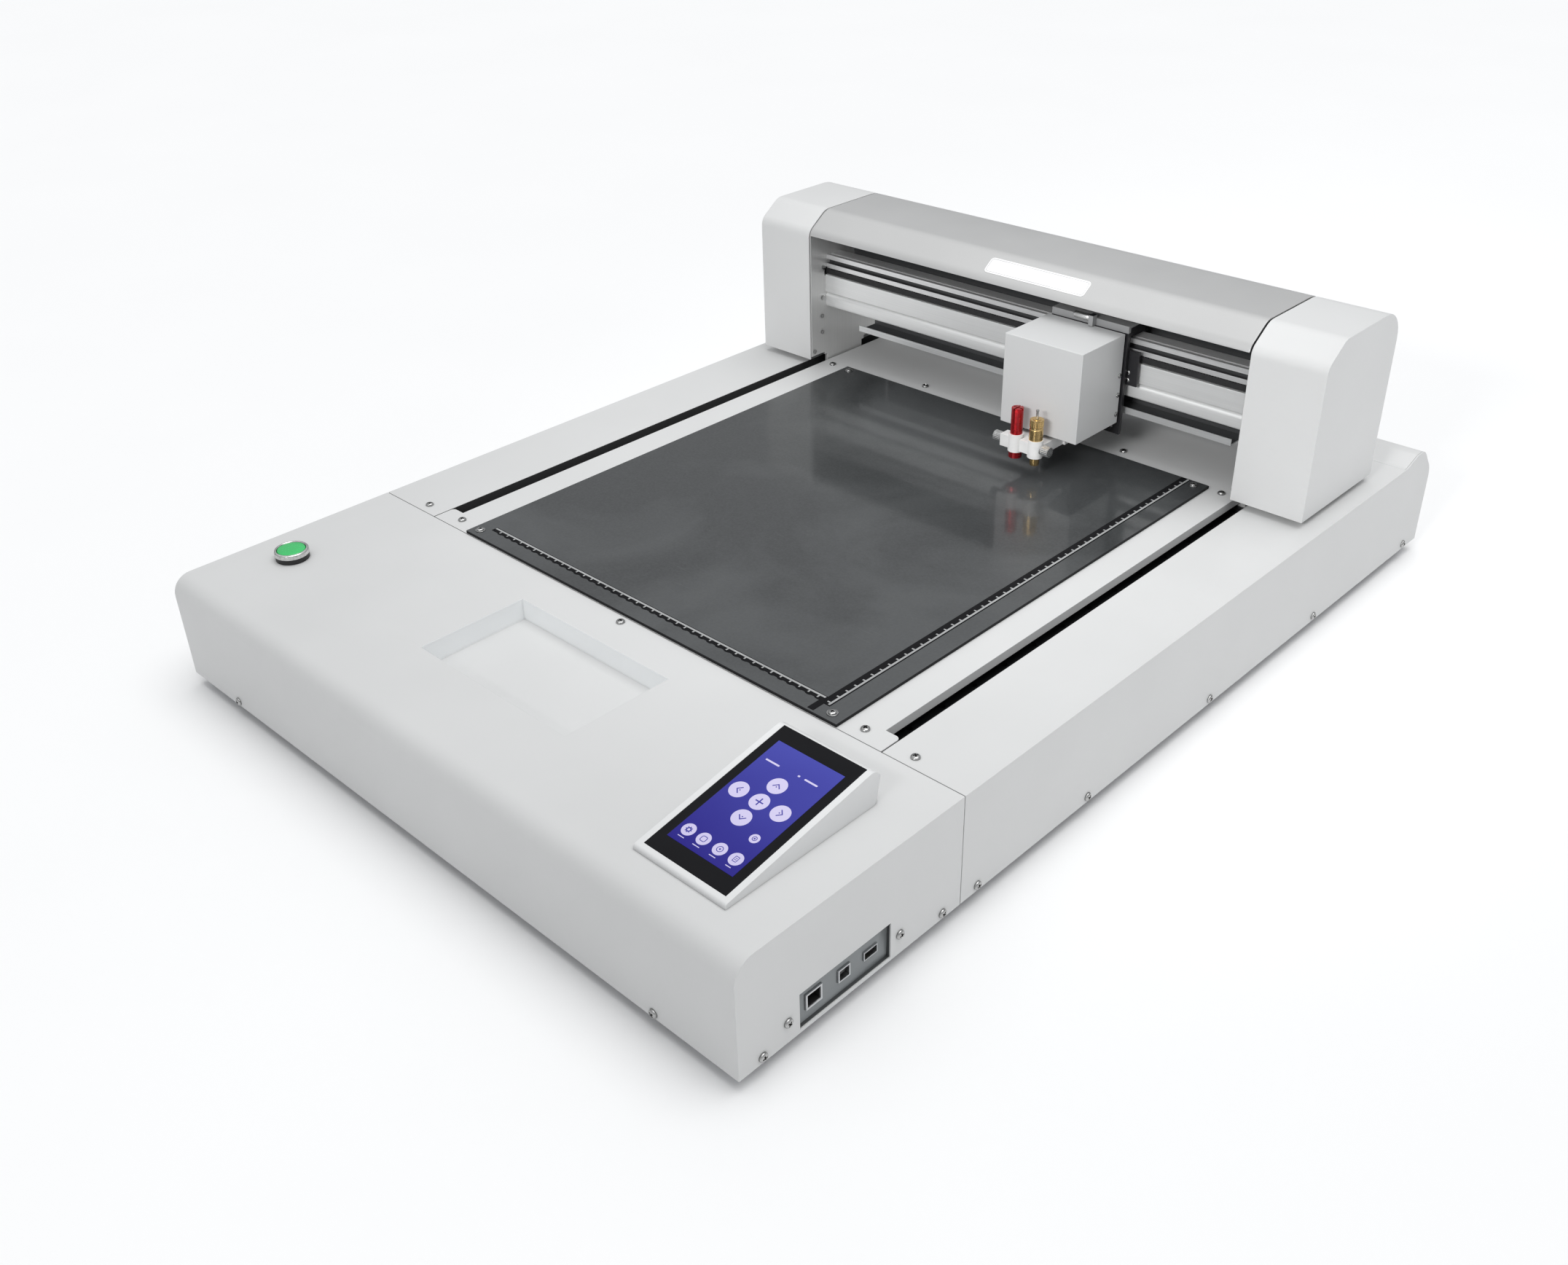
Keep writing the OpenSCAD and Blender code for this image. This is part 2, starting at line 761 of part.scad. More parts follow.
module head_cover() {
    far = [head_x + head_w, head_y + head_d, head_top];
    color("#eceae6") from_front() difference() {
        box([head_x, head_y, head_bottom], far);
        box([head_x + sheet, head_y + sheet, head_bottom - 1], [far.x - sheet, far.y + 1, far.z - sheet]);
    }
}

module head_plate() {
    color("#1d1e20") from_front() difference() {
        union() {
            box([head_x + 3, plate_y, 140], [head_x + head_w + 2, plate_y + 4, 251]);
            box([head_x + 3, plate_y + 4, 248.6], [head_x + head_w + 2, 791, 251]);
            box([78, plate_y + 4, x_belt_z[0] + 0.2], [98, 765.1, x_belt_z[1] - 0.2]);
            box([93, plate_y - 6.8, head_top + 0.3], [98, plate_y + 1, head_top + 11]);
            for (x = [head_x + sheet, head_x + head_w - sheet - 2])
                box([x, plate_y - 12, 158], [x + 2, plate_y, 208]);
        }
        box([head_x + head_w - 22, plate_y - 1, 144], [head_x + head_w - 6, plate_y + 5, 148.5]);
    }
}

// saddle on the upper extrusion, with a side bracket that hangs in front of the main beam
module x_rail_block() {
    gap = 0.3;
    x = [head_x + 5, head_x + head_w - 3];
    color("#222326") from_front() {
        difference() {
            box([x[0], 759, 222], [x[1], 791, 248.6]);
            box([x[0] - 1, rail_y[0] - gap, 0], [x[1] + 1, rail_y[1] + gap, rail_z[1] + gap]);
        }
        box([x[1] - 4, 757, 191], [x[1] + 16, 760.5, 226]);
    }
}

module lift_motors() {
    color("#3a3c3e") from_front() for (x = [crease_x, blade_x]) {
        box([x - 10, lift_y + lift_d + 6, 172], [x + 10, plate_y, 212]);
        box([x - 6, lift_y + lift_d + 0.4, 158], [x + 6, lift_y + lift_d + 6, 214]);
    }
}

module head_fasteners() {
    right = head_x + head_w;
    color("silver") from_front() {
        for (z = [163, 183, 203]) translate([right, 746.5, z]) rotate([0, 90, 0]) cylinder(h = 1.2, r = 2.4);
        for (z = [163, 183, 203]) translate([head_x, 746.5, z]) rotate([0, -90, 0]) cylinder(h = 1.2, r = 2.4);
        rod_x(75, 93, plate_y - 3.4, head_top + 7.5, 3.2);
    }
}

// clamp around a tool at x = 0, with the arm that carries it up into the head
module clamp(bore) {
    low = clamp_z - 9;
    color("#eceae6") difference() {
        union() {
            rod_z(0, 0, low, low + clamp_h, clamp_r);
            box([-clamp_r - boss_l, -6, clamp_z - 6], [-2, 6, clamp_z + 6]);
            box([-6.5, 2, low + 2], [6.5, lift_y + lift_d - tool_y, low + 12.5]);
            box([-9, lift_y - tool_y, low + 2], [9, lift_y + lift_d - tool_y, 205]);
        }
        rod_z(0, 0, low - 1, low + clamp_h + 1, bore);
        rod_x(-20, 20, 0, clamp_z, 2);
    }
}

module crease_clamp() {
    from_front() translate([crease_x, tool_y, 0]) clamp(5.95);
}

module blade_clamp() {
    from_front() translate([blade_x, tool_y, 0]) clamp(5.55);
}

module crease_tool() {
    color("#b3161c") from_front() translate([crease_x, tool_y, 0]) difference() {
        union() {
            rod_z(0, 0, 137, 181.5, 5.9);
            rod_z(0, 0, 130.5, 137, 6.6);
        }
        for (turn = [0, 90]) translate([0, 0, 181]) rotate([0, 0, turn]) cube([14, 1.4, 3], center = true);
        rod_z(0, 0, 129, 134, 2);
    }
}

// knurled thumbscrew along X, with its shank between the tool and the head's face
module thumbscrew(tip, face, end) {
    way = sign(end - face);
    rim = [face + 1.2 * way, end + way];
    rod_x(min(tip, face), max(tip, face), 0, clamp_z, 2 - fit);
    difference() {
        rod_x(min(face, end), max(face, end), 0, clamp_z, 5.2);
        for (i = [0:17]) translate([0, 0, clamp_z]) rotate([20 * i, 0, 0])
            rod_x(min(rim), max(rim), 5.5, 0, 0.6);
    }
}

module crease_thumbscrew() {
    boss = -clamp_r - boss_l;
    color("silver") from_front() translate([crease_x, tool_y, 0]) thumbscrew(-6.2, boss - 0.3, boss - 9.8);
}

module blade_thumbscrew() {
    color("silver") from_front() translate([blade_x, tool_y, 0]) thumbscrew(5.8, clamp_r + 0.3, clamp_r + 9.6);
}

module blade_holder() {
    color("#b78a3c") from_front() translate([blade_x, tool_y, 0]) difference() {
        rotate_extrude() polygon([
            [0, 128.5], [4.2, 128.5], [4.6, 129.2], [4.6, 137], [5.5, 137], [5.5, 155],
            [6.75, 155], [6.75, 166], [6.2, 166.6], [6.2, 168], [4, 168], [4, 176.3], [0, 176.3]
        ]);
        rod_z(0, 0, 153.5, 177, 1.25);
        rod_z(0, 0, 128, 150.5, 1.05);
    }
}

module depth_collar() {
    color("#c49545") from_front() translate([blade_x, tool_y, 0]) difference() {
        rod_z(0, 0, 168.4, 175.8, 6.75);
        rod_z(0, 0, 168, 177, 4 + fit);
        for (i = [0:17]) rotate([0, 0, 20 * i]) rod_z(7, 0, 169.6, 176, 0.6);
    }
}

module eject_pin() {
    color("silver") from_front() translate([blade_x, tool_y, 0]) {
        rod_z(0, 0, 158, 184, 1.2);
        rod_z(0, 0, 184, 185.4, 1.6);
    }
}

module blade() {
    color("silver") from_front() translate([blade_x, tool_y, 0]) {
        rod_z(0, 0, 128.4, 150, 1);
        translate([0, 0, 127.3]) cylinder(h = 1.1, r1 = 0.15, r2 = 1);
    }
}

base_tray();
rubber_feet();
frame_beams();
y_rails();
console_housing();
screen_pod();
screen_glass();
display_panel();
button_switch();
button_cap();
port_plate();
ethernet_socket();
usb_b_socket();
usb_a_socket();
left_cover();
right_cover();
rear_cover();
power_inlet();
bed_pan();
cutting_mat();
rulers();
screws();
y_belts();
y_motor();
shaft_brackets();
y_drive_shaft();
y_idler_left();
y_idler_right();
power_supply();
control_board();
left_plate();
right_plate();
left_end_cover();
right_end_cover();
beam_cover();
beam_back();
main_beam();
top_extrusion();
lower_bar();
cable_channel();
x_belt();
x_motor();
x_motor_pulley();
x_idler_pulley();
y_rail_blocks();
gantry_screws();
head_cover();
head_plate();
x_rail_block();
lift_motors();
head_fasteners();
crease_tool();
crease_clamp();
crease_thumbscrew();
blade_holder();
blade_clamp();
blade_thumbscrew();
depth_collar();
eject_pin();
blade();
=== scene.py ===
import json
import math

import bmesh
import bpy
from mathutils import Matrix, Vector


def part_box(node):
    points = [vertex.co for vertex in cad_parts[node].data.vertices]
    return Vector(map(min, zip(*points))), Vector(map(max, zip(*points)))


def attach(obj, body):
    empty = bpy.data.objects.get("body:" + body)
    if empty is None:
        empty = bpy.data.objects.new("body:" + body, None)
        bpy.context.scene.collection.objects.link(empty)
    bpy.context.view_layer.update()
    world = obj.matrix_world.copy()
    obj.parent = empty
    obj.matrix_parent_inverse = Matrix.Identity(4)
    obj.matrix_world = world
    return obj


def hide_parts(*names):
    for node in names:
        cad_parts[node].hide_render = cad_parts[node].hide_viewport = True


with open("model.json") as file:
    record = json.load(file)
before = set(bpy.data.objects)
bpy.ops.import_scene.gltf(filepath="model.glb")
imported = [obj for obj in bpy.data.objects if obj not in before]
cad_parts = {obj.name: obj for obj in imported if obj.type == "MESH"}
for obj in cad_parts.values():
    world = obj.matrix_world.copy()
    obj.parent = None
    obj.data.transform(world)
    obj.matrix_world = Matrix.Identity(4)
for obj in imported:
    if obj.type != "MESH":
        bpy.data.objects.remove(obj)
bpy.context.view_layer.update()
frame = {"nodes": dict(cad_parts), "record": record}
nodes = frame["nodes"]
record = frame["record"]
bodyOf = {node: body for body, members in record["behaviour"]["bodies"].items() for node in members}
mm = 0.001
print("frame loaded:", len(nodes), "nodes")


# small helpers for node trees and materials

def added(tree, kind, **settings):
    node = tree.nodes.new(kind)
    for name, value in settings.items():
        setattr(node, name, value)
    return node


def wire(tree, *links):  # each link is a node, its output, the next node and its input
    for source, output, target, entry in links:
        tree.links.new(source.outputs[output], target.inputs[entry])


def newFinish(name, **fixed):
    made = bpy.data.materials.new(name)
    made.use_nodes = True
    shader = made.node_tree.nodes["Principled BSDF"]
    for socket, value in fixed.items():
        shader.inputs[socket.replace("_", " ")].default_value = value
    return made, made.node_tree, shader


def place(tree, turn=(0, 0, 0), stretch=(1, 1, 1)):  # object coordinates, turned and stretched
    where = added(tree, "ShaderNodeTexCoord")
    mapping = added(tree, "ShaderNodeMapping")
    mapping.inputs["Rotation"].default_value = turn
    mapping.inputs["Scale"].default_value = stretch
    wire(tree, (where, "Object", mapping, "Vector"))
    return mapping.outputs["Vector"]


def texture(tree, kind, where, sizes, output="Fac", **settings):
    node = added(tree, kind, **settings)
    tree.links.new(where, node.inputs["Vector"])
    for name, value in sizes.items():
        node.inputs[name].default_value = value
    return node.outputs[output]


def noise(tree, where, scale, detail=2.0, rough=0.5, distort=0.0):
    return texture(tree, "ShaderNodeTexNoise", where,
                   {"Scale": scale, "Detail": detail, "Roughness": rough, "Distortion": distort})


def bands(tree, where, scale, distort=0.0, detail=0.0):  # level lines, one above the other
    return texture(tree, "ShaderNodeTexWave", where,
                   {"Scale": scale, "Distortion": distort, "Detail": detail},
                   wave_type="BANDS", bands_direction="Z")


def cells(tree, where, scale, feature="F1"):
    return texture(tree, "ShaderNodeTexVoronoi", where, {"Scale": scale}, "Distance", feature=feature)


def ramp(tree, factor, *stops):
    node = added(tree, "ShaderNodeValToRGB")
    tree.links.new(factor, node.inputs["Fac"])
    points = node.color_ramp.elements
    for point, (at, colour) in zip(points, stops):
        point.position = at
        point.color = (*colour, 1)
    return node.outputs["Color"]


def spread(tree, factor, low, high, start=0.0, end=1.0):
    node = added(tree, "ShaderNodeMapRange")
    tree.links.new(factor, node.inputs["Value"])
    for socket, value in (("From Min", start), ("From Max", end), ("To Min", low), ("To Max", high)):
        node.inputs[socket].default_value = value
    return node.outputs["Result"]


def blendColours(tree, factor, first, second):
    node = added(tree, "ShaderNodeMix", data_type="RGBA", blend_type="MIX")
    for socket, value in ((0, factor), (6, first), (7, second)):  # the mix node's colour sockets share names
        if hasattr(value, "is_linked"):
            tree.links.new(value, node.inputs[socket])
        else:
            node.inputs[socket].default_value = value if socket == 0 else (*value, 1)
    return node.outputs[2]


def paintedHollowShade(tree, reach, start, end):  # painted shade: 1 in corners, seams and recesses, 0 in the open
    hollow = added(tree, "ShaderNodeAmbientOcclusion", samples=5)
    hollow.inputs["Distance"].default_value = reach * mm
    return spread(tree, hollow.outputs["AO"], 1, 0, start, end)


def shade(colour, by):
    return tuple(min(1, c * by) for c in colour)


def tones(tree, factor, colour, dark, light):  # darker below the first number, lighter above the second
    return ramp(tree, factor, (dark[0], shade(colour, dark[1])), (light[0], shade(colour, light[1])))


def finished(made, colour, rough, *layers):  # each layer is height, depth in metres, strength
    tree = made.node_tree
    shader = tree.nodes["Principled BSDF"]
    tree.links.new(colour, shader.inputs["Base Color"])
    if rough:
        tree.links.new(rough, shader.inputs["Roughness"])
    last = None
    for height, depth, strength in layers:
        bump = added(tree, "ShaderNodeBump")
        bump.inputs["Strength"].default_value = strength
        bump.inputs["Distance"].default_value = depth
        tree.links.new(height, bump.inputs["Height"])
        if last:
            tree.links.new(last, bump.inputs["Normal"])
        last = bump.outputs["Normal"]
    tree.links.new(last, shader.inputs["Normal"])
    return made


# finishes

def powderCoat(name, colour, gloss=0.42, metal=0.0):
    made, tree, shader = newFinish(name, Specular_IOR_Level=0.45, Metallic=metal)
    where = place(tree)
    cloud = noise(tree, where, 7, 3)
    speck = noise(tree, where, 260, 2)
    base = tones(tree, cloud, colour, (0.3, 0.975), (0.7, 1.015))
    specked = blendColours(tree, spread(tree, speck, 0, 0.05, 0.55, 0.8), base, shade(colour, 0.82))
    # painted shade: the paint is darker in corners, seams and recesses
    withCornerShade = blendColours(tree, paintedHollowShade(tree, 2.2, 0.25, 0.85), specked, shade(colour, 0.66))
    peel, wave = noise(tree, where, 620, 2, 0.6), noise(tree, where, 12, 2)
    return finished(made, withCornerShade, spread(tree, noise(tree, where, 24, 4), gloss - 0.05, gloss + 0.06),
                    (peel, 0.00006, 0.35), (wave, 0.0004, 0.10))


def brushedMetal(name, colour, along="X", gloss=0.3, metal=1.0, streak=0.12):
    made, tree, shader = newFinish(name, Metallic=metal, Anisotropic=0.35)
    stretch = {"X": (6, 900, 900), "Y": (900, 6, 900), "Z": (900, 900, 6)}[along]
    cloud = noise(tree, place(tree), 16, 3)
    grain = noise(tree, place(tree, stretch=stretch), 1, 3, 0.6)
    base = tones(tree, grain, colour, (0.25, 1 - streak), (0.75, 1 + streak * 0.6))
    return finished(made, blendColours(tree, spread(tree, cloud, 0, 0.25), base, shade(colour, 0.8)),
                    spread(tree, grain, gloss - 0.06, gloss + 0.14), (grain, 0.00003, 0.35))


def turnedMetal(name, colour, ring=2600, gloss=0.22, metal=1.0, coat=0.0, recessShadeReach=0.0):
    made, tree, shader = newFinish(name, Metallic=metal, Coat_Weight=coat, Coat_Roughness=0.12)
    where = place(tree)
    lines = bands(tree, where, ring / 6.28, 0.6, 2)
    stain = noise(tree, where, 320, 3)
    base = tones(tree, stain, colour, (0.3, 0.78), (0.7, 1.1))
    if recessShadeReach:  # painted shade: darker in recesses and at the foot
        base = blendColours(tree, paintedHollowShade(tree, recessShadeReach, 0.35, 0.8), base, shade(colour, 0.04))
    return finished(made, base, spread(tree, noise(tree, where, 900, 2), gloss - 0.05, gloss + 0.12),
                    (lines, 0.00005, 0.5), (stain, 0.00004, 0.25))


def moulded(name, colour, gloss=0.5, grainSize=1400, depth=0.00003, coat=0.0, shine=0.5):
    made, tree, shader = newFinish(name, Coat_Weight=coat, Coat_Roughness=0.1, Specular_IOR_Level=shine)
    where = place(tree)
    fine = noise(tree, where, grainSize, 3, 0.6)
    base = tones(tree, noise(tree, where, 40, 3), colour, (0.3, 0.88), (0.7, 1.12))
    return finished(made, base, spread(tree, fine, gloss - 0.06, gloss + 0.1), (fine, depth, 0.5))


def matFilm(name):  # clear sticky film over a dark grey board
    made, tree, shader = newFinish(name, Coat_Weight=0.75, Coat_Roughness=0.09, Coat_IOR=1.45,
                                   Specular_IOR_Level=0.25)
    where = place(tree)
    board = noise(tree, where, 420, 4, 0.65)
    cloud = noise(tree, where, 5, 4, 0.55, 0.6)
    scratch = noise(tree, place(tree, (0, 0, 0.5), (18, 700, 1)), 1, 3, 0.7)
    film = noise(tree, place(tree, (0, 0, 0.3), (1, 0.35, 1)), 9, 2, 0.4)
    base = ramp(tree, board, (0.3, (0.027, 0.029, 0.030)), (0.7, (0.044, 0.047, 0.049)))
    smear = ramp(tree, cloud, (0.42, (0, 0, 0)), (0.62, (1, 1, 1)))
    scored = ramp(tree, scratch, (0.66, (0, 0, 0)), (0.74, (1, 1, 1)))
    worn = blendColours(tree, spread(tree, smear, 0, 0.45), base, (0.095, 0.100, 0.103))
    return finished(made, blendColours(tree, spread(tree, scored, 0, 0.12), worn, (0.24, 0.25, 0.26)),
                    spread(tree, cloud, 0.26, 0.46),
                    (film, 0.010, 0.16), (board, 0.00005, 0.25), (scratch, 0.00004, 0.2))


def blackOxide(name):
    made, tree, shader = newFinish(name, Metallic=0.75)
    grain = noise(tree, place(tree, stretch=(900, 5, 900)), 1, 3)
    base = ramp(tree, grain, (0.3, (0.012, 0.013, 0.015)), (0.75, (0.040, 0.042, 0.047)))
    stain = spread(tree, noise(tree, place(tree), 60, 3), 0, 0.3)
    return finished(made, blendColours(tree, stain, base, (0.055, 0.05, 0.045)),
                    spread(tree, grain, 0.28, 0.42),
                    (grain, 0.00002, 0.4))


def laminated(name, colour):  # stacked plates of a motor's body
    made, tree, shader = newFinish(name, Metallic=0.35)
    where = place(tree)
    plates = bands(tree, where, 320)
    return finished(made, tones(tree, plates, colour, (0.2, 0.6), (0.8, 1.5)),
                    spread(tree, noise(tree, where, 300, 3), 0.35, 0.55),
                    (plates, 0.00012, 0.5), (noise(tree, where, 900, 2), 0.00003, 0.3))


def screenGlow(name, low, high, strength):  # brighter towards the top of the screen
    made, tree, shader = newFinish(name, Roughness=0.12, Emission_Strength=strength, Specular_IOR_Level=0.16)
    where = place(tree)
    parts = added(tree, "ShaderNodeSeparateXYZ")
    tree.links.new(where, parts.inputs["Vector"])
    rise = added(tree, "ShaderNodeMath", operation="ADD")
    tree.links.new(spread(tree, parts.outputs["Y"], -0.15, 0.5, -0.44, -0.33), rise.inputs[0])
    tree.links.new(spread(tree, noise(tree, where, 14, 2, 0.4), 0.1, 0.5), rise.inputs[1])
    drift = ramp(tree, rise.outputs["Value"], (0.1, low), (0.9, high))
    tree.links.new(drift, shader.inputs["Emission Color"])
    return finished(made, blendColours(tree, 0.6, drift, (0.01, 0.01, 0.03)), None,
                    (cells(tree, where, 4200), 0.00001, 0.1))


def drilledSheet(name, colour):  # sheet with rows of small round vents, painted as dark spots: painted shade inside the holes
    made, tree, shader = newFinish(name, Metallic=1.0)
    holes = cells(tree, place(tree), 170)
    grain = noise(tree, place(tree, stretch=(5, 700, 700)), 1, 3)
    base = tones(tree, grain, colour, (0.3, 0.85), (0.7, 1.08))
    return finished(made, blendColours(tree, spread(tree, holes, 1, 0, 0.18, 0.22), base, (0.02, 0.02, 0.02)),
                    spread(tree, grain, 0.3, 0.5), (holes, 0.0003, 0.3))


def circuitCard(name):
    made, tree, shader = newFinish(name, Roughness=0.3, Coat_Weight=0.3, Coat_Roughness=0.15)
    tracks = cells(tree, place(tree), 380, "DISTANCE_TO_EDGE")
    line = spread(tree, tracks, 1, 0, 0.02, 0.08)
    return finished(made, blendColours(tree, line, (0.012, 0.10, 0.035), (0.03, 0.21, 0.07)), None,
                    (tracks, 0.00006, 0.4))


def rubbery(name, colour, gloss=0.62):
    made, tree, shader = newFinish(name, Specular_IOR_Level=0.35)
    where = place(tree)
    dust = noise(tree, where, 120, 4, 0.65)
    return finished(made, tones(tree, dust, colour, (0.3, 0.8), (0.75, 1.5)),
                    spread(tree, dust, gloss - 0.08, gloss + 0.14),
                    (noise(tree, where, 1800, 2), 0.00005, 0.5), (dust, 0.0001, 0.2))


housingWhite = powderCoat("housing_white", (0.665, 0.668, 0.665))
beamWhite = powderCoat("beam_white", (0.62, 0.62, 0.615), 0.36, 0.5)
coverWhite = powderCoat("cover_white", (0.70, 0.703, 0.70), 0.40)
podWhite = powderCoat("pod_white", (0.77, 0.775, 0.775), 0.32)
# painted light: a lighter copy of the housing paint for the tray's walls
trayWallLit = powderCoat("tray_wall_white", (0.93, 0.945, 0.95), 0.42)
headWhite = powderCoat("head_white", (0.60, 0.605, 0.605), 0.42)
clampWhite = moulded("clamp_white", (0.80, 0.80, 0.79), 0.38, 900)
# painted shade: a dark finish for the back sheet and the channel's inside, which lie in shade
paintedShadeSheet = powderCoat("dark_sheet", (0.075, 0.077, 0.080), 0.22)
blackSheet = powderCoat("black_sheet", (0.018, 0.018, 0.020), 0.36)
flangeGrey = powderCoat("flange_grey", (0.34, 0.343, 0.345), 0.36, 0.2)
# painted shade: dark finish for the extrusion's grooves and the left slot's wall
paintedGrooveShade = powderCoat("groove_dark", (0.070, 0.071, 0.073), 0.40, 0.4)
portGrey = powderCoat("port_grey", (0.24, 0.255, 0.262), 0.38, 0.3)
portShade = powderCoat("port_shade", (0.055, 0.058, 0.060), 0.5)
matGrey = matFilm("mat_film")
rulerBlack = moulded("ruler_black", (0.007, 0.007, 0.008), 0.6, 900, shine=0.1)
# painted shade: near-black finish for the mat's sides
matEdgeShade = moulded("mat_edge", (0.012, 0.012, 0.013), 0.6, 700, shine=0.2)
rulerLight = moulded("ruler_light", (0.36, 0.365, 0.365), 0.5, 900)
railDark = blackOxide("rail_black_oxide")
beamAluminium = brushedMetal("extruded_aluminium", (0.80, 0.80, 0.80), "X", 0.34, 0.6)
beamLight = brushedMetal("satin_aluminium", (0.84, 0.845, 0.84), "X", 0.38, 0.45, 0.05)
tubeAluminium = brushedMetal("tube_aluminium", (0.60, 0.60, 0.60), "Y", 0.38)
plateMetal = brushedMetal("plate_metal", (0.80, 0.80, 0.79), "Z", 0.34, 0.5, 0.06)
channelMetal = brushedMetal("channel_metal", (0.76, 0.77, 0.77), "X", 0.30, 0.6)
zincPlate = brushedMetal("zinc_plate", (0.50, 0.51, 0.53), "Y", 0.42)
blockSteel = brushedMetal("block_steel", (0.42, 0.43, 0.44), "Y", 0.26)
screwSteel = turnedMetal("screw_nickel", (0.50, 0.50, 0.495), 5200, 0.20, 1.0, 0.0, 2.2)
knurlSteel = turnedMetal("knurled_nickel", (0.78, 0.78, 0.77), 5200, 0.20)
bladeSteel = turnedMetal("blade_steel", (0.46, 0.46, 0.48), 9000, 0.22)
brass = turnedMetal("turned_brass", (0.74, 0.52, 0.23), 3600, 0.20)
redAnodised = turnedMetal("red_anodised", (0.50, 0.012, 0.018), 4200, 0.26, 0.85, 0.4)
bezelChrome = turnedMetal("bezel_metal", (0.74, 0.74, 0.73), 2400, 0.16)
buttonGreen = moulded("button_green", (0.03, 0.56, 0.14), 0.24, 500, 0.00004, 0.5)
blackPlastic = moulded("black_plastic", (0.014, 0.014, 0.015), 0.42)
socketMetal = brushedMetal("socket_metal", (0.60, 0.61, 0.62), "X", 0.28)
contactGold = turnedMetal("contact_gold", (0.80, 0.60, 0.22), 6000, 0.25)
glassBlack = moulded("glass_black", (0.0045, 0.0045, 0.006), 0.12, 3000, 0.000004, 0.0, 0.16)
displayBlue = screenGlow("display_blue", (0.016, 0.010, 0.21), (0.062, 0.070, 0.40), 0.62)
iconLilac = screenGlow("icon_lilac", (0.60, 0.56, 0.80), (0.68, 0.64, 0.86), 0.62)
iconInk = screenGlow("icon_ink", (0.06, 0.06, 0.36), (0.09, 0.08, 0.42), 0.5)
beltBlack = rubbery("belt_black", (0.020, 0.020, 0.021))
footRubber = rubbery("foot_rubber", (0.020, 0.020, 0.020), 0.7)
motorBlack = laminated("motor_black", (0.030, 0.030, 0.033))
cardGreen = circuitCard("card_green")
supplySheet = drilledSheet("supply_sheet", (0.62, 0.63, 0.63))
labelWhite = moulded("label_white", (0.90, 0.90, 0.90), 0.24, 700, 0.00001, 0.7)
labelGrey = moulded("label_grey", (0.46, 0.46, 0.47), 0.3, 700, 0.00001, 0.5)
print("finishes made:", len(bpy.data.materials))


# shape helpers

def placed(name, data):
    made = bpy.data.objects.new(name, data)
    bpy.context.scene.collection.objects.link(made)
    return made


def addPiece(name, mesh, body, surface):
    piece = placed(name, mesh)
    if surface:
        mesh.materials.clear()
        mesh.materials.append(surface)
    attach(piece, body)
    return piece


def standIn(name, mesh, node, surface=None):  # new piece on the node's body, in place of the node
    piece = addPiece(name, mesh, bodyOf[node], surface)
    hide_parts(node)
    return piece


def meshFrom(name, build):
    shape = bmesh.new()
    build(shape)
    mesh = bpy.data.meshes.new(name)
    shape.to_mesh(mesh)
    shape.free()
    return mesh


def baked(piece, name):  # the piece with its modifiers applied, as a plain mesh
    graph = bpy.context.evaluated_depsgraph_get()
    graph.update()
    mesh = bpy.data.meshes.new_from_object(piece.evaluated_get(graph))
    mesh.name = name
    bpy.data.objects.remove(piece)
    return mesh


def softened(mesh, edge, sharpFrom=32, segments=2, clamp=True):
    piece = placed("work", mesh)
    mesh.shade_smooth()
    mesh.set_sharp_from_angle(angle=math.radians(sharpFrom))
    if edge:
        bevel = piece.modifiers.new("edge", "BEVEL")
        bevel.width = edge * mm
        bevel.segments = segments
        bevel.limit_method = "ANGLE"
        bevel.angle_limit = math.radians(sharpFrom)
        bevel.use_clamp_overlap = clamp
        bevel.harden_normals = True
    return baked(piece, mesh.name)


def dressed(node, surface, edge, sharpFrom=32, clamp=True, segments=2, corner=None):
    shape = bmesh.new()
    shape.from_mesh(nodes[node].data)
    bmesh.ops.remove_doubles(shape, verts=shape.verts, dist=3e-6)
    bmesh.ops.dissolve_limit(shape, angle_limit=math.radians(0.3), verts=shape.verts, edges=shape.edges,
                             delimit=set())
    if corner:  # a larger round on the edges that pass the test
        radius, fits = corner
        rounded = [edge for edge in shape.edges if fits(*(v.co for v in edge.verts))]
        bmesh.ops.bevel(shape, geom=rounded, offset=radius * mm, segments=8, profile=0.5, affect="EDGES")
    mesh = bpy.data.meshes.new(node + "_dressed")
    shape.to_mesh(mesh)
    shape.free()
    return standIn(node + "_shell", softened(mesh, edge, sharpFrom, segments, clamp), node, surface)


def keepNode(node, surface):
    data = nodes[node].data
    data.materials.clear()
    data.materials.append(surface)


def lathe(shape, profile, segments=64, axis=(0, 0, 1), at=(0, 0, 0), close=True):
    # profile is radius and height in millimetres, drawn along axis from the point at
    turn = Vector((0, 0, 1)).rotation_difference(Vector(axis)).to_matrix()
    base = Vector(at)
    rings = []
    for radius, height in profile:
        if radius < 1e-6:
            rings.append([shape.verts.new(base + turn @ Vector((0, 0, height * mm)))])
            continue
        spots = [Vector((radius * mm * math.cos(a), radius * mm * math.sin(a), height * mm))
                 for a in (2 * math.pi * i / segments for i in range(segments))]
        rings.append([shape.verts.new(base + turn @ spot) for spot in spots])
    for low, high in zip(rings, rings[1:]):
        for i in range(segments):
            j = (i + 1) % segments
            quad = [low[i % len(low)], low[j % len(low)], high[j % len(high)], high[i % len(high)]]
            corners = list(dict.fromkeys(quad))
            if len(corners) > 2:
                shape.faces.new(corners)
    if close:
        for ring, flip in ((rings[0], True), (rings[-1], False)):
            if len(ring) > 1:
                shape.faces.new(ring[::-1] if flip else ring)


def block(shape, low, high):
    made = bmesh.ops.create_cube(shape, size=1)["verts"]
    size = Vector(high) - Vector(low)
    middle = (Vector(high) + Vector(low)) / 2
    for v in made:
        v.co = Vector((v.co.x * size.x, v.co.y * size.y, v.co.z * size.z)) + middle


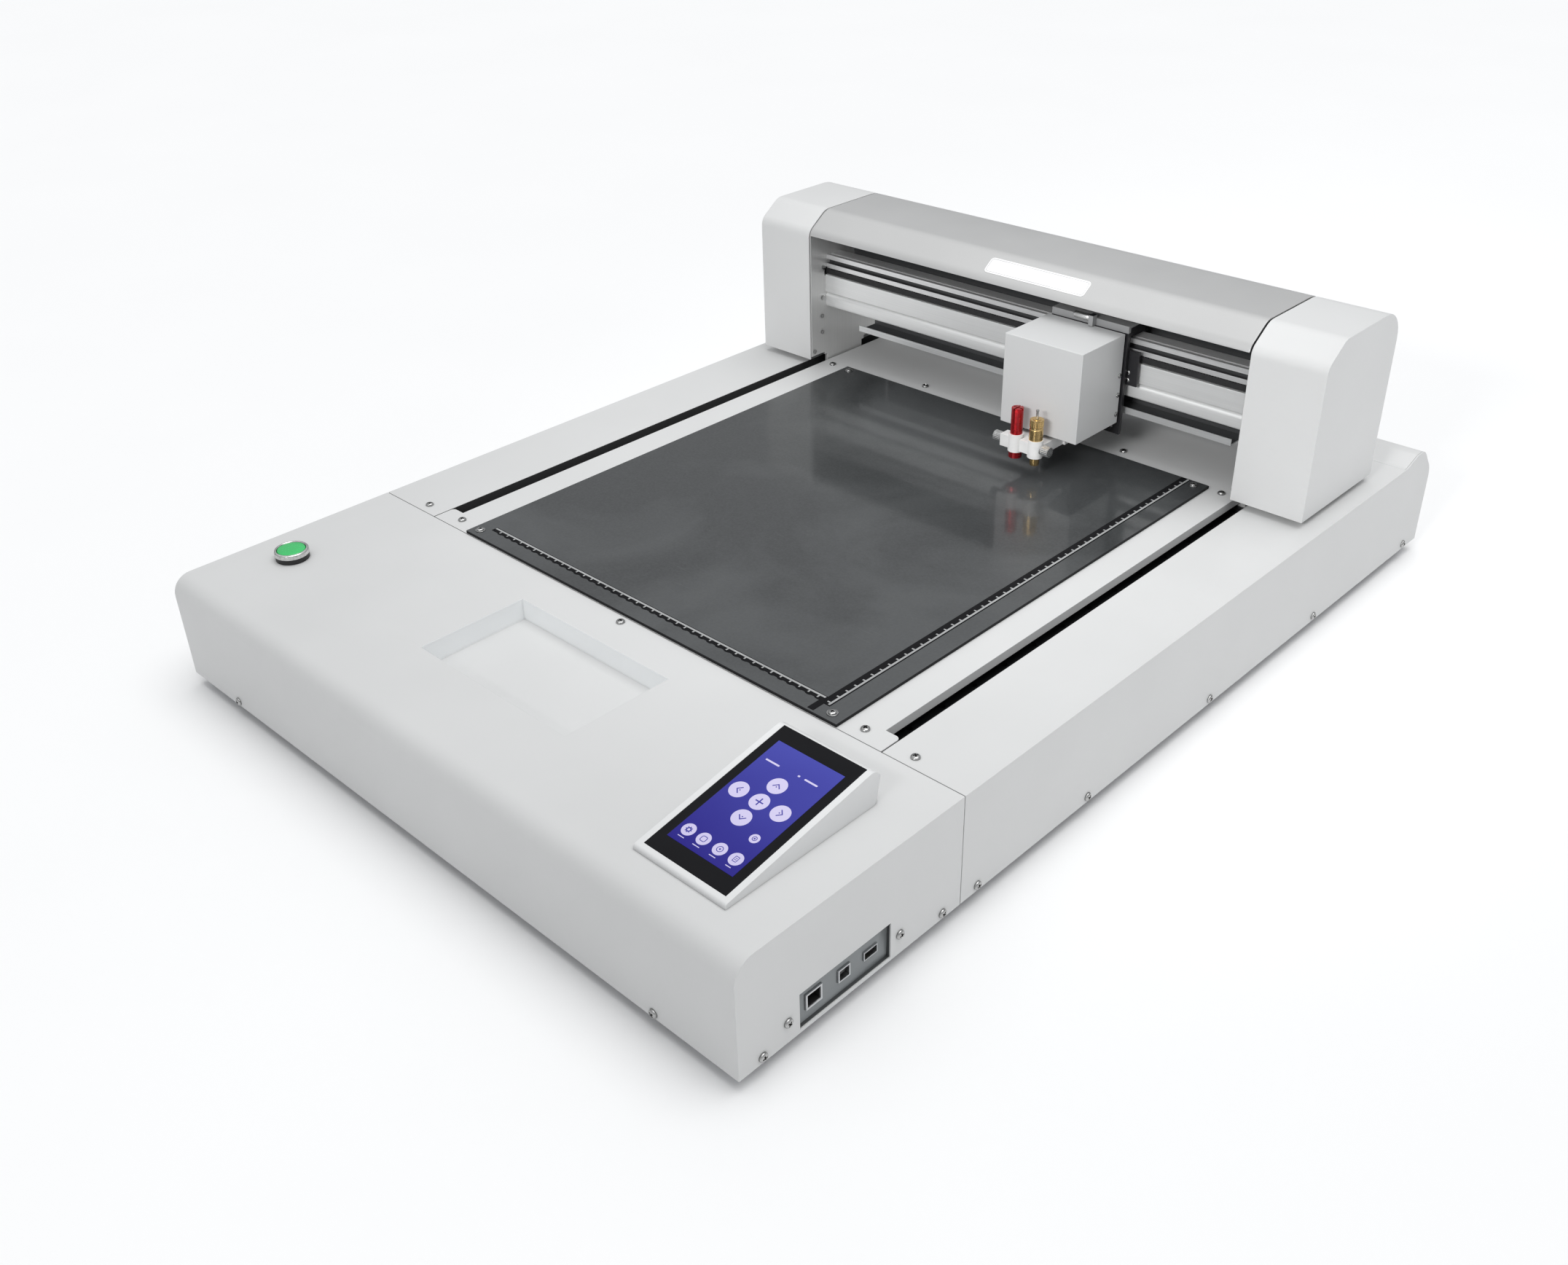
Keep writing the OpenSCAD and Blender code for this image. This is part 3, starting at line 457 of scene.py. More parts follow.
def islands(mesh):  # box of each separate solid in a mesh
    shape = bmesh.new()
    shape.from_mesh(mesh)
    bmesh.ops.remove_doubles(shape, verts=shape.verts, dist=1e-6)
    left, found = set(shape.verts), []
    while left:
        seed = left.pop()
        group, edge = [seed], [seed]
        while edge:
            for link in edge.pop().link_edges:
                for v in link.verts:
                    if v in left:
                        left.discard(v)
                        group.append(v)
                        edge.append(v)
        low = Vector([min(v.co[k] for v in group) for k in range(3)])
        high = Vector([max(v.co[k] for v in group) for k in range(3)])
        found.append((low, high))
    shape.free()
    return sorted(found, key=lambda b: tuple(round(c, 5) for c in b[0]))


# geometry node trees

def treeWith(name, *sockets):
    tree = bpy.data.node_groups.new(name, "GeometryNodeTree")
    tree.interface.new_socket("Geometry", in_out="INPUT", socket_type="NodeSocketGeometry")
    tree.interface.new_socket("Geometry", in_out="OUTPUT", socket_type="NodeSocketGeometry")
    for label, kind, value in sockets:
        made = tree.interface.new_socket(label, in_out="INPUT", socket_type="NodeSocket" + kind)
        if value is not None:
            made.default_value = value
    return tree, added(tree, "NodeGroupInput"), added(tree, "NodeGroupOutput")


def closeTree(tree, start, end, geometry):
    real = added(tree, "GeometryNodeRealizeInstances")
    colour = added(tree, "GeometryNodeSetMaterial")
    tree.links.new(geometry, real.inputs["Geometry"])
    wire(tree, (real, "Geometry", colour, "Geometry"), (start, "Finish", colour, "Material"),
         (colour, "Geometry", end, "Geometry"))


def runTree(tree, name, mesh, values):
    piece = placed(name, mesh)
    change = piece.modifiers.new("build", "NODES")
    change.node_group = tree
    for item in tree.interface.items_tree:
        if item.in_out == "INPUT" and item.name in values:
            change[item.identifier] = values[item.name]
    return baked(piece, name)


def stored(tree, label, kind):  # reads a value kept on each point
    node = added(tree, "GeometryNodeInputNamedAttribute", data_type=kind)
    node.inputs["Name"].default_value = label
    return node


def screwTree():  # one head on each point, faced and turned by the point's own values
    tree, start, end = treeWith(
        "screws_on_points", ("Head", "Object", None), ("Scale", "Float", 1.0), ("Finish", "Material", None))
    head = added(tree, "GeometryNodeObjectInfo")
    put = added(tree, "GeometryNodeInstanceOnPoints")
    face = stored(tree, "facing", "FLOAT_VECTOR")
    spin = stored(tree, "spin", "FLOAT")
    aim = added(tree, "FunctionNodeAlignRotationToVector", axis="Z")
    roll = added(tree, "FunctionNodeRotateRotation", rotation_space="LOCAL")
    twist = added(tree, "FunctionNodeAxisAngleToRotation")
    wire(tree,
         (start, "Head", head, "Object"), (start, "Geometry", put, "Points"),
         (start, "Scale", put, "Scale"), (head, "Geometry", put, "Instance"),
         (face, "Attribute", aim, "Vector"), (spin, "Attribute", twist, "Angle"),
         (aim, "Rotation", roll, "Rotation"), (twist, "Rotation", roll, "Rotate By"),
         (roll, "Rotation", put, "Rotation"))
    closeTree(tree, start, end, put.outputs["Instances"])
    return tree


def rowTree():  # equal bars set out in a straight row, every so many of them longer
    tree, start, end = treeWith(
        "row_of_bars", ("Count", "Int", 10), ("First", "Vector", (0, 0, 0)), ("Step", "Vector", (0, 0.01, 0)),
        ("Bar", "Vector", (0.001, 0.001, 0.001)), ("Every", "Int", 5), ("Longer", "Vector", (0, 0, 0)),
        ("Finish", "Material", None))
    line = added(tree, "GeometryNodeMeshLine", mode="OFFSET")
    cube = added(tree, "GeometryNodeMeshCube")
    cube.inputs["Size"].default_value = (1, 1, 1)
    put = added(tree, "GeometryNodeInstanceOnPoints")
    index = added(tree, "GeometryNodeInputIndex")
    rest = added(tree, "ShaderNodeMath", operation="FLOORED_MODULO")
    same = added(tree, "ShaderNodeMath", operation="COMPARE")
    same.inputs[1].default_value = 0
    same.inputs[2].default_value = 0.1
    extra = added(tree, "ShaderNodeVectorMath", operation="SCALE")
    total = added(tree, "ShaderNodeVectorMath", operation="ADD")
    shift = added(tree, "ShaderNodeVectorMath", operation="SCALE")
    shift.inputs["Scale"].default_value = -0.5
    move = added(tree, "GeometryNodeSetPosition")
    wire(tree,
         (start, "Count", line, "Count"), (start, "First", line, "Start Location"),
         (start, "Step", line, "Offset"), (index, "Index", rest, 0), (start, "Every", rest, 1),
         (rest, "Value", same, 0), (start, "Longer", extra, "Vector"), (same, "Value", extra, "Scale"),
         (extra, "Vector", total, 0), (start, "Bar", total, 1), (extra, "Vector", shift, "Vector"),
         (line, "Mesh", move, "Geometry"), (shift, "Vector", move, "Offset"),
         (move, "Geometry", put, "Points"), (cube, "Mesh", put, "Instance"),
         (total, "Vector", put, "Scale"))
    closeTree(tree, start, end, put.outputs["Instances"])
    return tree


def beltTree():  # flat band along a closed outline, with teeth on its inner side
    tree, start, end = treeWith(
        "toothed_belt", ("Pitch", "Float", 0.003), ("Wide", "Float", 0.006), ("Band", "Float", 0.0008),
        ("Tooth", "Vector", (0.0015, 0.0006, 0.006)), ("Finish", "Material", None))
    curve = added(tree, "GeometryNodeMeshToCurve")
    flat = added(tree, "GeometryNodeSetCurveNormal", mode="Z_UP")
    profile = added(tree, "GeometryNodeCurvePrimitiveQuadrilateral")
    band = added(tree, "GeometryNodeCurveToMesh")
    points = added(tree, "GeometryNodeCurveToPoints", mode="LENGTH")
    cube = added(tree, "GeometryNodeMeshCube")
    put = added(tree, "GeometryNodeInstanceOnPoints")
    join = added(tree, "GeometryNodeJoinGeometry")
    inward = added(tree, "ShaderNodeVectorMath", operation="CROSS_PRODUCT")
    inward.inputs[0].default_value = (0, 0, 1)
    depth = added(tree, "ShaderNodeVectorMath", operation="SCALE")
    half = added(tree, "ShaderNodeMath", operation="MULTIPLY_ADD")
    half.inputs[1].default_value = 0.5
    parts = added(tree, "ShaderNodeSeparateXYZ")
    halfTooth = added(tree, "ShaderNodeMath", operation="MULTIPLY")
    halfTooth.inputs[1].default_value = 0.5
    aim = added(tree, "FunctionNodeAlignRotationToVector", axis="X", pivot_axis="Z")
    move = added(tree, "GeometryNodeSetPosition")
    wire(tree,
         (start, "Geometry", curve, "Mesh"), (curve, "Curve", flat, "Curve"),
         (start, "Band", profile, "Width"), (start, "Wide", profile, "Height"),
         (flat, "Curve", band, "Curve"), (profile, "Curve", band, "Profile Curve"),
         (flat, "Curve", points, "Curve"), (start, "Pitch", points, "Length"),
         (start, "Tooth", cube, "Size"), (start, "Tooth", parts, "Vector"), (parts, "Y", halfTooth, 0),
         (start, "Band", half, 0), (halfTooth, "Value", half, 2), (points, "Tangent", inward, 1),
         (inward, "Vector", depth, "Vector"), (half, "Value", depth, "Scale"),
         (points, "Points", move, "Geometry"), (depth, "Vector", move, "Offset"),
         (points, "Tangent", aim, "Vector"), (move, "Geometry", put, "Points"),
         (cube, "Mesh", put, "Instance"), (aim, "Rotation", put, "Rotation"),
         (band, "Mesh", join, "Geometry"), (put, "Instances", join, "Geometry"))
    closeTree(tree, start, end, join.outputs["Geometry"])
    return tree


screwsOnPoints = screwTree()
rowOfBars = rowTree()
toothedBelt = beltTree()
print("node trees made")


# sheet metal and profiles that keep the CAD's shape, with their edges eased

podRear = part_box("screen_pod")[1].y


def podEdge(a, b):  # the pod's upright edges at the rear
    return abs(a.x - b.x) < 1e-5 and abs(a.z - b.z) > 12 * mm and min(a.y, b.y) > podRear - 1.5 * mm


shells = {node: dressed(node, *settings) for node, *settings in (  # finish, eased edge and how it is eased
    ("console_housing", housingWhite, 0.45, 32, False),
    ("left_cover", housingWhite, 0.45, 32, False),
    ("right_cover", housingWhite, 0.45, 32, False),
    ("rear_cover", housingWhite, 0.4, 32, False),
    ("bed_pan", housingWhite, 0.35, 32, False),
    ("screen_pod", podWhite, 0.6, 32, True, 3, (7.0, podEdge)),
    ("left_end_cover", coverWhite, 0.5, 32, False),
    ("right_end_cover", coverWhite, 0.5, 32, False),
    ("beam_cover", beamWhite, 0.45, 32, False),
    ("beam_back", paintedShadeSheet, 0.3),
    ("head_cover", headWhite, 0.7, 32, False, 3),
    ("head_plate", blackSheet, 0.3),
    ("x_rail_block", blackSheet, 0.5),
    ("main_beam", beamLight, 0.6, 32, False),
    ("top_extrusion", beamAluminium, 0.25),
    ("lower_bar", beamLight, 0.3),
    ("cable_channel", channelMetal, 0.25),
    ("left_plate", plateMetal, 0.3),
    ("right_plate", plateMetal, 0.3),
    ("port_plate", portGrey, 0.3),
    ("cutting_mat", matGrey, 0.4),
    ("y_rails", railDark, 0.3),
    ("frame_beams", tubeAluminium, 0.4),
    ("base_tray", zincPlate, 0.3),
    ("y_rail_blocks", blockSteel, 0.5),
    ("shaft_brackets", zincPlate, 0.4),
    ("y_motor", motorBlack, 0.8),
    ("x_motor", motorBlack, 1.2),
    ("lift_motors", motorBlack, 0.8),
    ("power_supply", supplySheet, 0.4),
    ("control_board", cardGreen, 0.1),
    ("crease_clamp", clampWhite, 0.5, 32, True, 3),
    ("blade_clamp", clampWhite, 0.5, 32, True, 3),
    ("screen_glass", glassBlack, 0.25),
    ("power_inlet", blackPlastic, 0.3),
    ("blade_holder", brass, 0.15),
    ("crease_tool", redAnodised, 0.25),
    ("depth_collar", brass, 0.12),
    ("crease_thumbscrew", knurlSteel, 0.2),
    ("blade_thumbscrew", knurlSteel, 0.2),
    ("eject_pin", screwSteel, 0.15),
    ("rubber_feet", footRubber, 1.2, 32, True, 3),
    ("ethernet_socket", socketMetal, 0.2),
    ("usb_b_socket", socketMetal, 0.2),
    ("usb_a_socket", socketMetal, 0.2),
    ("y_drive_shaft", screwSteel, 0.15),
    ("y_idler_left", screwSteel, 0.15),
    ("y_idler_right", screwSteel, 0.15),
    ("x_motor_pulley", screwSteel, 0.15),
    ("x_idler_pulley", screwSteel, 0.15))}
keepNode("display_panel", displayBlue)
keepNode("blade", bladeSteel)
print("covers, profiles and small parts dressed")


# pieces that carry two finishes

def cutAcross(piece, z):  # new edges where a level plane meets the piece
    shape = bmesh.new()
    shape.from_mesh(piece.data)
    bmesh.ops.bisect_plane(shape, geom=shape.verts[:] + shape.edges[:] + shape.faces[:],
                           plane_co=(0, 0, z), plane_no=(0, 0, 1))
    shape.to_mesh(piece.data)
    shape.free()


def twoTone(node, surface, fits):  # second finish on the faces that pass the test
    mesh = shells[node].data
    mesh.materials.append(surface)
    for face in mesh.polygons:
        if fits(face.center, face.normal):
            face.material_index = 1


grooveShape = {"from": 0.4, "to": 4.6, "side": 4.9}  # the extrusion's front grooves
channelSheet = 1.3  # a little more than the channel's sheet is thick
trayPlace = {"half": 94, "from": 83, "to": 189, "floor": 91}
slotWall = -300  # the left slot's outer wall is right of this
flangeRise = 7.5  # the bent top of the head's back plate

grooveLow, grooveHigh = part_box("top_extrusion")
channelLow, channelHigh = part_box("cable_channel")
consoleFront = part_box("console_housing")[0].y
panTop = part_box("bed_pan")[1].z
backLow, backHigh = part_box("head_plate")
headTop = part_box("head_cover")[1].z


def inGroove(c, n):
    return (grooveShape["from"] * mm < c.y - grooveLow.y < grooveShape["to"] * mm
            and grooveLow.z + grooveShape["side"] * mm < c.z < grooveHigh.z - grooveShape["side"] * mm)


def inChannel(c, n):
    sheet = channelSheet * mm
    return (channelLow.y + sheet < c.y < channelHigh.y - sheet and c.z > channelLow.z + sheet
            and (n.y < -0.6 or n.z > 0.6))


def inTray(c, n):
    return (abs(c.x) < trayPlace["half"] * mm
            and trayPlace["from"] * mm < c.y - consoleFront < trayPlace["to"] * mm
            and c.z > trayPlace["floor"] * mm and abs(n.z) < 0.6)


# painted shade in the extrusion's front grooves
twoTone("top_extrusion", paintedGrooveShade, inGroove)
# painted shade inside the cable channel
twoTone("cable_channel", paintedShadeSheet, inChannel)
# painted light on the tray's walls
twoTone("console_housing", trayWallLit, inTray)
# painted shade on the mat's sides and underside
twoTone("cutting_mat", matEdgeShade, lambda c, n: n.z < 0.5)
# painted shade on the left slot's outer wall
twoTone("left_cover", paintedGrooveShade, lambda c, n: n.x > 0.7 and c.z < panTop - 0.5 * mm and c.x > slotWall * mm)
twoTone("port_plate", portShade, lambda c, n: abs(n.x) < 0.5)
cutAcross(shells["head_plate"], headTop)
twoTone("head_plate", flangeGrey, lambda c, n: headTop < c.z < headTop + flangeRise * mm and n.z > -0.5)
print("second finishes set")


# screws: pan heads with a cross recess, set out from the CAD's own screws

def crossCutter(name, arm, half, top, depth):
    def build(shape):
        rings = []
        for z, by in ((top - depth, 0.6), (top + 0.3, 1.0)):
            a, b = arm * by, half * by
            outline = ((a, -b), (a, b), (b, b), (b, a), (-b, a), (-b, b),
                       (-a, b), (-a, -b), (-b, -b), (-b, -a), (b, -a), (b, -b))
            rings.append([shape.verts.new((x * mm, y * mm, z * mm)) for x, y in outline])
        wall(shape, rings)
    return meshFrom(name, build)


def wall(shape, rings):  # closes a stack of equal rings into a solid
    count = len(rings[0])
    shape.faces.new(rings[0][::-1])
    shape.faces.new(rings[-1])
    for low, high in zip(rings, rings[1:]):
        for i in range(count):
            shape.faces.new((low[i], low[(i + 1) % count], high[(i + 1) % count], high[i]))


def screwHead(name, s):
    r, h = s["radius"], s["height"]
    flange, start = s["washer"]  # radius and thickness of the washer under the head
    profile = [(0, 0)]
    if start:
        profile += [(flange, 0), (flange, start * 0.8), (flange * 0.96, start), (r, start * 1.001)]
    else:
        profile += [(r, 0)]
    profile += [(r, start + h * 0.34), (r * 0.97, start + h * 0.52), (r * 0.86, start + h * 0.75),
                (r * 0.66, start + h * 0.92), (r * 0.36, start + h), (0, start + h)]
    head = placed(name, meshFrom(name, lambda shape: lathe(shape, profile, 28)))
    cutter = placed("cutter", crossCutter("cutter", r * 0.60, r * 0.17, start + h, h * 0.72))
    cut = head.modifiers.new("recess", "BOOLEAN")
    cut.operation = "DIFFERENCE"
    cut.solver = "EXACT"
    cut.object = cutter
    mesh = baked(head, name)
    bpy.data.objects.remove(cutter)
    mesh.shade_smooth()
    mesh.set_sharp_from_angle(angle=math.radians(36))
    return placed(name, mesh)


def standing(low, high, about=(0, 0, 0), sense=1):  # foot of a screw, the way it faces and its width
    size, middle = high - low, (low + high) / 2
    k = min(range(3), key=lambda i: size[i])
    facing = Vector((0, 0, 0))
    facing[k] = 1 if k == 2 else math.copysign(sense, middle[k] - about[k])
    foot = middle.copy()
    foot[k] = low[k] if facing[k] > 0 else high[k]
    return foot, facing, sum(size) - size[k]


def screwsAt(name, head, places, surface):
    mesh = bpy.data.meshes.new(name)
    mesh.from_pydata([place[0] for place in places], [], [])
    for label, kind in (("facing", "FLOAT_VECTOR"), ("spin", "FLOAT")):
        mesh.attributes.new(label, kind, "POINT")
    for i, (_, facing, _) in enumerate(places):
        mesh.attributes["facing"].data[i].vector = facing
        mesh.attributes["spin"].data[i].value = math.radians((i * 137.5) % 90)
    return runTree(screwsOnPoints, name, mesh, {"Head": head, "Scale": 1.0, "Finish": surface})


def joined(name, meshes):  # several meshes in one, each with its own finish
    shape = bmesh.new()
    surfaces = []
    for mesh in meshes:
        first = len(shape.faces)
        shape.from_mesh(mesh)
        shape.faces.ensure_lookup_table()
        for face in shape.faces[first:]:
            own = mesh.materials[face.material_index]
            if own not in surfaces:
                surfaces.append(own)
            face.material_index = surfaces.index(own)
    made = bpy.data.meshes.new(name)
    shape.to_mesh(made)
    shape.free()
    for surface in surfaces:
        made.materials.append(surface)
    return made


screwSet = {
    "cover": {"radius": 3.8, "height": 2.4, "washer": (0, 0)},
    "mat": {"radius": 3.4, "height": 1.4, "washer": (4.6, 0.8)},
    "small": {"radius": 2.4, "height": 1.2, "washer": (0, 0)},
}
heads = {kind: screwHead("head_" + kind, s) for kind, s in screwSet.items()}
washerSum = 17 * mm  # the two widths of a screw with a washer add up to more than this
bedPlaces = [standing(low, high) for low, high in islands(nodes["screws"].data)]
covering = screwsAt("cover_screws", heads["cover"], [p for p in bedPlaces if p[2] < washerSum], screwSteel)
washered = screwsAt("mat_screws", heads["mat"], [p for p in bedPlaces if p[2] >= washerSum], screwSteel)
standIn("bed_screws", joined("bed_screws", (covering, washered)), "screws")
legPlaces = [standing(low, high, sense=-1) for low, high in islands(nodes["gantry_screws"].data)]
standIn("leg_screws", screwsAt("leg_screws", heads["small"], legPlaces, screwSteel), "gantry_screws")
pinLength = 10 * mm  # the one solid longer than this is the pin, and the others are screws
headIslands = islands(nodes["head_fasteners"].data)
plateMiddle = (backLow + backHigh) / 2
headPlaces = [standing(low, high, plateMiddle) for low, high in headIslands if (high - low).x < pinLength]
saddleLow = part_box("x_rail_block")[0]
for rise in (0.30, 0.72):  # two more on the saddle's side bracket
    foot = Vector((backHigh.x + 1.0 * mm, saddleLow.y, saddleLow.z + rise * 18 * mm))
    headPlaces.append((foot, Vector((0, -1, 0)), 5 * mm))
headScrews = screwsAt("head_screws", heads["small"], headPlaces, screwSteel)


def pinShape(shape, low, high):
    r, long = (high.z - low.z) * 500, (high.x - low.x) * 1000
    profile = [(0, 0), (r * 0.8, 0), (r, r * 0.25), (r, long * 0.2), (r * 0.86, long * 0.22),
               (r * 0.86, long * 0.27), (r, long * 0.29), (r, long - r * 0.5), (r * 0.86, long - r * 0.16),
               (r * 0.5, long), (0, long)]
    lathe(shape, profile, 40, (1, 0, 0), (low.x, (low.y + high.y) / 2, (low.z + high.z) / 2))


pinBox = next(pair for pair in headIslands if (pair[1] - pair[0]).x >= pinLength)
pinMesh = softened(meshFrom("stop_pin", lambda shape: pinShape(shape, *pinBox)), 0, 40)
pinMesh.materials.append(knurlSteel)
standIn("head_fixings", joined("head_fixings", (headScrews, pinMesh)), "head_fasteners")
for head in heads.values():
    bpy.data.objects.remove(head)
print("screws set out:", len(bedPlaces) + len(legPlaces) + len(headPlaces))


# toothed belts

beltShape = {"pitch": 3.0, "band": 0.8, "tooth": (1.5, 0.6), "bend": 20}


def beltOutline(name, half, radius, steps):  # closed outline in XY, ends rounded
    points = [(side * half + radius * math.cos(a), radius * math.sin(a), 0)
              for side in (1, -1) for a in (math.pi * (i / steps - 0.5 * side) for i in range(steps + 1))]
    mesh = bpy.data.meshes.new(name)
    mesh.from_pydata(points, [(i, (i + 1) % len(points)) for i in range(len(points))], [])
    return mesh


def beltOn(name, low, high, order, s):  # order: axis along the belt, across the loop, across the band
    size, middle = high - low, (low + high) / 2
    outer = size[order[1]] / 2
    mesh = beltOutline(name, size[order[0]] / 2 - outer, outer - s["band"] / 2 * mm, s["bend"])
    mesh = runTree(toothedBelt, name, mesh, {
        "Pitch": s["pitch"] * mm, "Wide": size[order[2]], "Band": s["band"] * mm,
        "Tooth": (s["tooth"][0] * mm, s["tooth"][1] * mm, size[order[2]]), "Finish": beltBlack})
    turn = Matrix([[1.0 if order[column] == line else 0.0 for column in range(3)] for line in range(3)])
    mesh.transform(Matrix.Translation(middle) @ turn.to_4x4())
    mesh.shade_smooth()
    mesh.set_sharp_from_angle(angle=math.radians(30))
    return mesh


crossBelt = beltOn("cross_belt", *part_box("x_belt"), (0, 1, 2), beltShape)
standIn("cross_belt", crossBelt, "x_belt")
longBelts = [beltOn("bed_belt", low, high, (1, 2, 0), beltShape)
             for low, high in islands(nodes["y_belts"].data) if (high - low).y > 300 * mm]
standIn("bed_belts", joined("bed_belts", longBelts), "y_belts")
print("belts built")


# printed rulers: black band, light line and ticks

rulerShape = {"band": 0.28, "tick": (1.4, 2.6), "line": 1.9, "edge": 0.9, "step": 10.0}


def rulerMeshes(s):
    solids = sorted(islands(nodes["rulers"].data), key=lambda b: (b[1] - b[0]).x)
    (sideLow, sideHigh), (frontLow, frontHigh) = solids[0], solids[-1]
    base, top = sideLow.z, sideHigh.z
    under = base + s["band"] * mm

    def blackBands(shape):
        block(shape, sideLow, (sideHigh.x, sideHigh.y, under))
        # a dark patch by the corner that runs on to the mat's front edge
        block(shape, (sideLow.x - 2.5 * mm, frontLow.y - 12 * mm, base),
              (sideLow.x + 3.6 * mm, frontLow.y + 2.5 * mm, under - 0.03 * mm))
        block(shape, (frontLow.x, frontHigh.y - 6.4 * mm, base),
              (sideLow.x + 0.5 * mm, frontHigh.y, under - 0.05 * mm))
        count = int((frontHigh.x - frontLow.x) / (s["step"] * mm))
        for i in range(count):  # the band's front edge swells between the ticks
            middle = frontHigh.x - (i + 0.5) * s["step"] * mm
            outline = [(middle + dx * mm, frontHigh.y - 6.3 * mm - dy * mm)
                       for dx, dy in ((3.6, 0), (2.4, 0.8), (0.8, 1.2), (-0.8, 1.2), (-2.4, 0.8), (-3.6, 0))]
            wall(shape, [[shape.verts.new((x, y, z)) for x, y in outline[::-1]]
                         for z in (base, under - 0.05 * mm)])

    def lightLines(shape):
        right = sideHigh.x - s["edge"] * mm
        block(shape, (right - s["line"] * mm, sideLow.y + 1 * mm, base), (right, sideHigh.y - 1 * mm, top))
        rear = frontHigh.y - s["edge"] * mm
        block(shape, (frontLow.x + 1 * mm, rear - s["line"] * mm, base),
              (sideLow.x - 0.6 * mm, rear, top - 0.02 * mm))

    black = meshFrom("ruler_bands", blackBands)
    black.materials.append(rulerBlack)
    light = meshFrom("ruler_lines", lightLines)
    light.materials.append(rulerLight)
    short, long = s["tick"]
    middle = (base + top) / 2
    inset = (s["edge"] + s["line"]) * mm + (long / 2 - 0.2) * mm  # from the ruler's edge to a tick's middle
    sideCount = int((sideHigh.y - sideLow.y) / (s["step"] * mm))
    frontCount = int((frontHigh.x - frontLow.x) / (s["step"] * mm))
    sideTicks = runTree(rowOfBars, "side_ticks", bpy.data.meshes.new("ticks"), {
        "Count": sideCount, "First": (sideHigh.x - inset, sideLow.y + 4 * mm, middle),
        "Step": (0, s["step"] * mm, 0), "Bar": (long * mm, short * mm, top - base), "Every": 5,
        "Longer": (0.5 * mm, 0, 0), "Finish": rulerLight})
    frontTicks = runTree(rowOfBars, "front_ticks", bpy.data.meshes.new("ticks"), {
        "Count": frontCount, "First": (frontHigh.x - 6 * mm, frontHigh.y - inset, middle - 0.01 * mm),
        "Step": (-s["step"] * mm, 0, 0), "Bar": (short * mm, long * mm, top - base - 0.02 * mm), "Every": 5,
        "Longer": (0, 0.5 * mm, 0), "Finish": rulerLight})
    return joined("printed_rulers", (black, light, sideTicks, frontTicks))


standIn("printed_rulers", rulerMeshes(rulerShape), "rulers")
print("rulers built")


# start button: threaded barrel, black base ring, bright bezel and green cap

buttonShape = {"barrel": 11.0, "base": 15.0, "rim": 15.6, "mouth": 13.0, "cap": 12.6, "thread": 1.5}


def buildButton(s):
    low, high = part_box("button_switch")
    capLow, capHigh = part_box("button_cap")
    at = ((low.x + high.x) / 2, (low.y + high.y) / 2, 0)
    foot, top, face, under = low.z / mm, high.z / mm, capHigh.z / mm, capLow.z / mm
    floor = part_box("console_housing")[1].z / mm
    ringTop, cup = floor + 4.6, floor + 1.0
    core, base, rim, mouth, cap = s["barrel"] - 0.7, s["base"], s["rim"], s["mouth"], s["cap"]

    thread = [(0, foot), (s["barrel"] - 1, foot)]
    for i in range(int((floor - 2 - foot) / s["thread"])):
        z = foot + i * s["thread"]
        thread += [(core, z + 0.15), (s["barrel"], z + s["thread"] * 0.5), (core, z + s["thread"] * 0.92)]
    thread += [(core, floor), (base - 0.3, floor), (base, floor + 0.3), (base, ringTop), (mouth, ringTop),
               (mouth, cup), (0, cup)]
    barrel = softened(meshFrom("button_base", lambda shape: lathe(shape, thread, 72, at=at)), 0, 34)
    standIn("button_base", barrel, "button_switch", blackPlastic)

    ring = [(mouth, ringTop), (rim - 0.5, ringTop), (rim, ringTop + 0.5), (rim, top - 1.5),
            (rim - 0.22, top - 0.8), (rim - 0.75, top - 0.25), (rim - 1.4, top), (mouth + 0.5, top),
            (mouth, top - 0.5), (mouth, ringTop)]
    bezelMesh = meshFrom("button_bezel", lambda shape: lathe(shape, ring, 96, at=at, close=False))
    bezel = softened(bezelMesh, 0, 40)
    addPiece("button_bezel", bezel, bodyOf["button_switch"], bezelChrome)

    dome = [(0, under), (cap - 0.3, under), (cap, under + 0.3), (cap, face - 1.3), (cap - 0.3, face - 0.85),
            (cap - 0.9, face - 0.6), (cap - 1.5, face - 0.62), (cap - 1.8, face - 0.5), (8, face - 0.2),
            (4, face - 0.05), (0, face)]
    pressed = softened(meshFrom("button_cap", lambda shape: lathe(shape, dome, 96, at=at)), 0, 50)
    standIn("green_cap", pressed, "button_cap", buttonGreen)


buildButton(buttonShape)
print("start button built")


# flat shapes on a sloping face

def facePlane(mesh, fits):  # normal and a point of the largest face that fits
    face = max((f for f in mesh.polygons if fits(f.normal)), key=lambda f: f.area)
    return face.normal.copy(), face.center.copy()


def faceMatrix(plane, x, y):  # frame on the face: X to the right, Y up the slope, Z out of it
    normal, point = plane
    z = point.z - (normal.y * (y - point.y) + normal.x * (x - point.x)) / normal.z
    right = Vector((1, 0, 0))
    up = normal.cross(right)
    return Matrix.Translation((x, y, z)) @ Matrix((right, up, normal)).transposed().to_4x4()


def tile(shape, outline, low, high):  # thin closed slab over an outline, in millimetres
    wall(shape, [[shape.verts.new((u * mm, v * mm, w * mm)) for u, v in outline] for w in (low, high)])


def disc(at, radius, steps=40):
    return [(at[0] + radius * math.cos(a), at[1] + radius * math.sin(a))
            for a in (2 * math.pi * i / steps for i in range(steps))]


def bar(at, long, thick, angle=0.0):
    c, s = math.cos(math.radians(angle)), math.sin(math.radians(angle))
    return [(at[0] + u * c - v * s, at[1] + u * s + v * c)
            for u, v in ((-long / 2, -thick / 2), (long / 2, -thick / 2), (long / 2, thick / 2),
                         (-long / 2, thick / 2))]


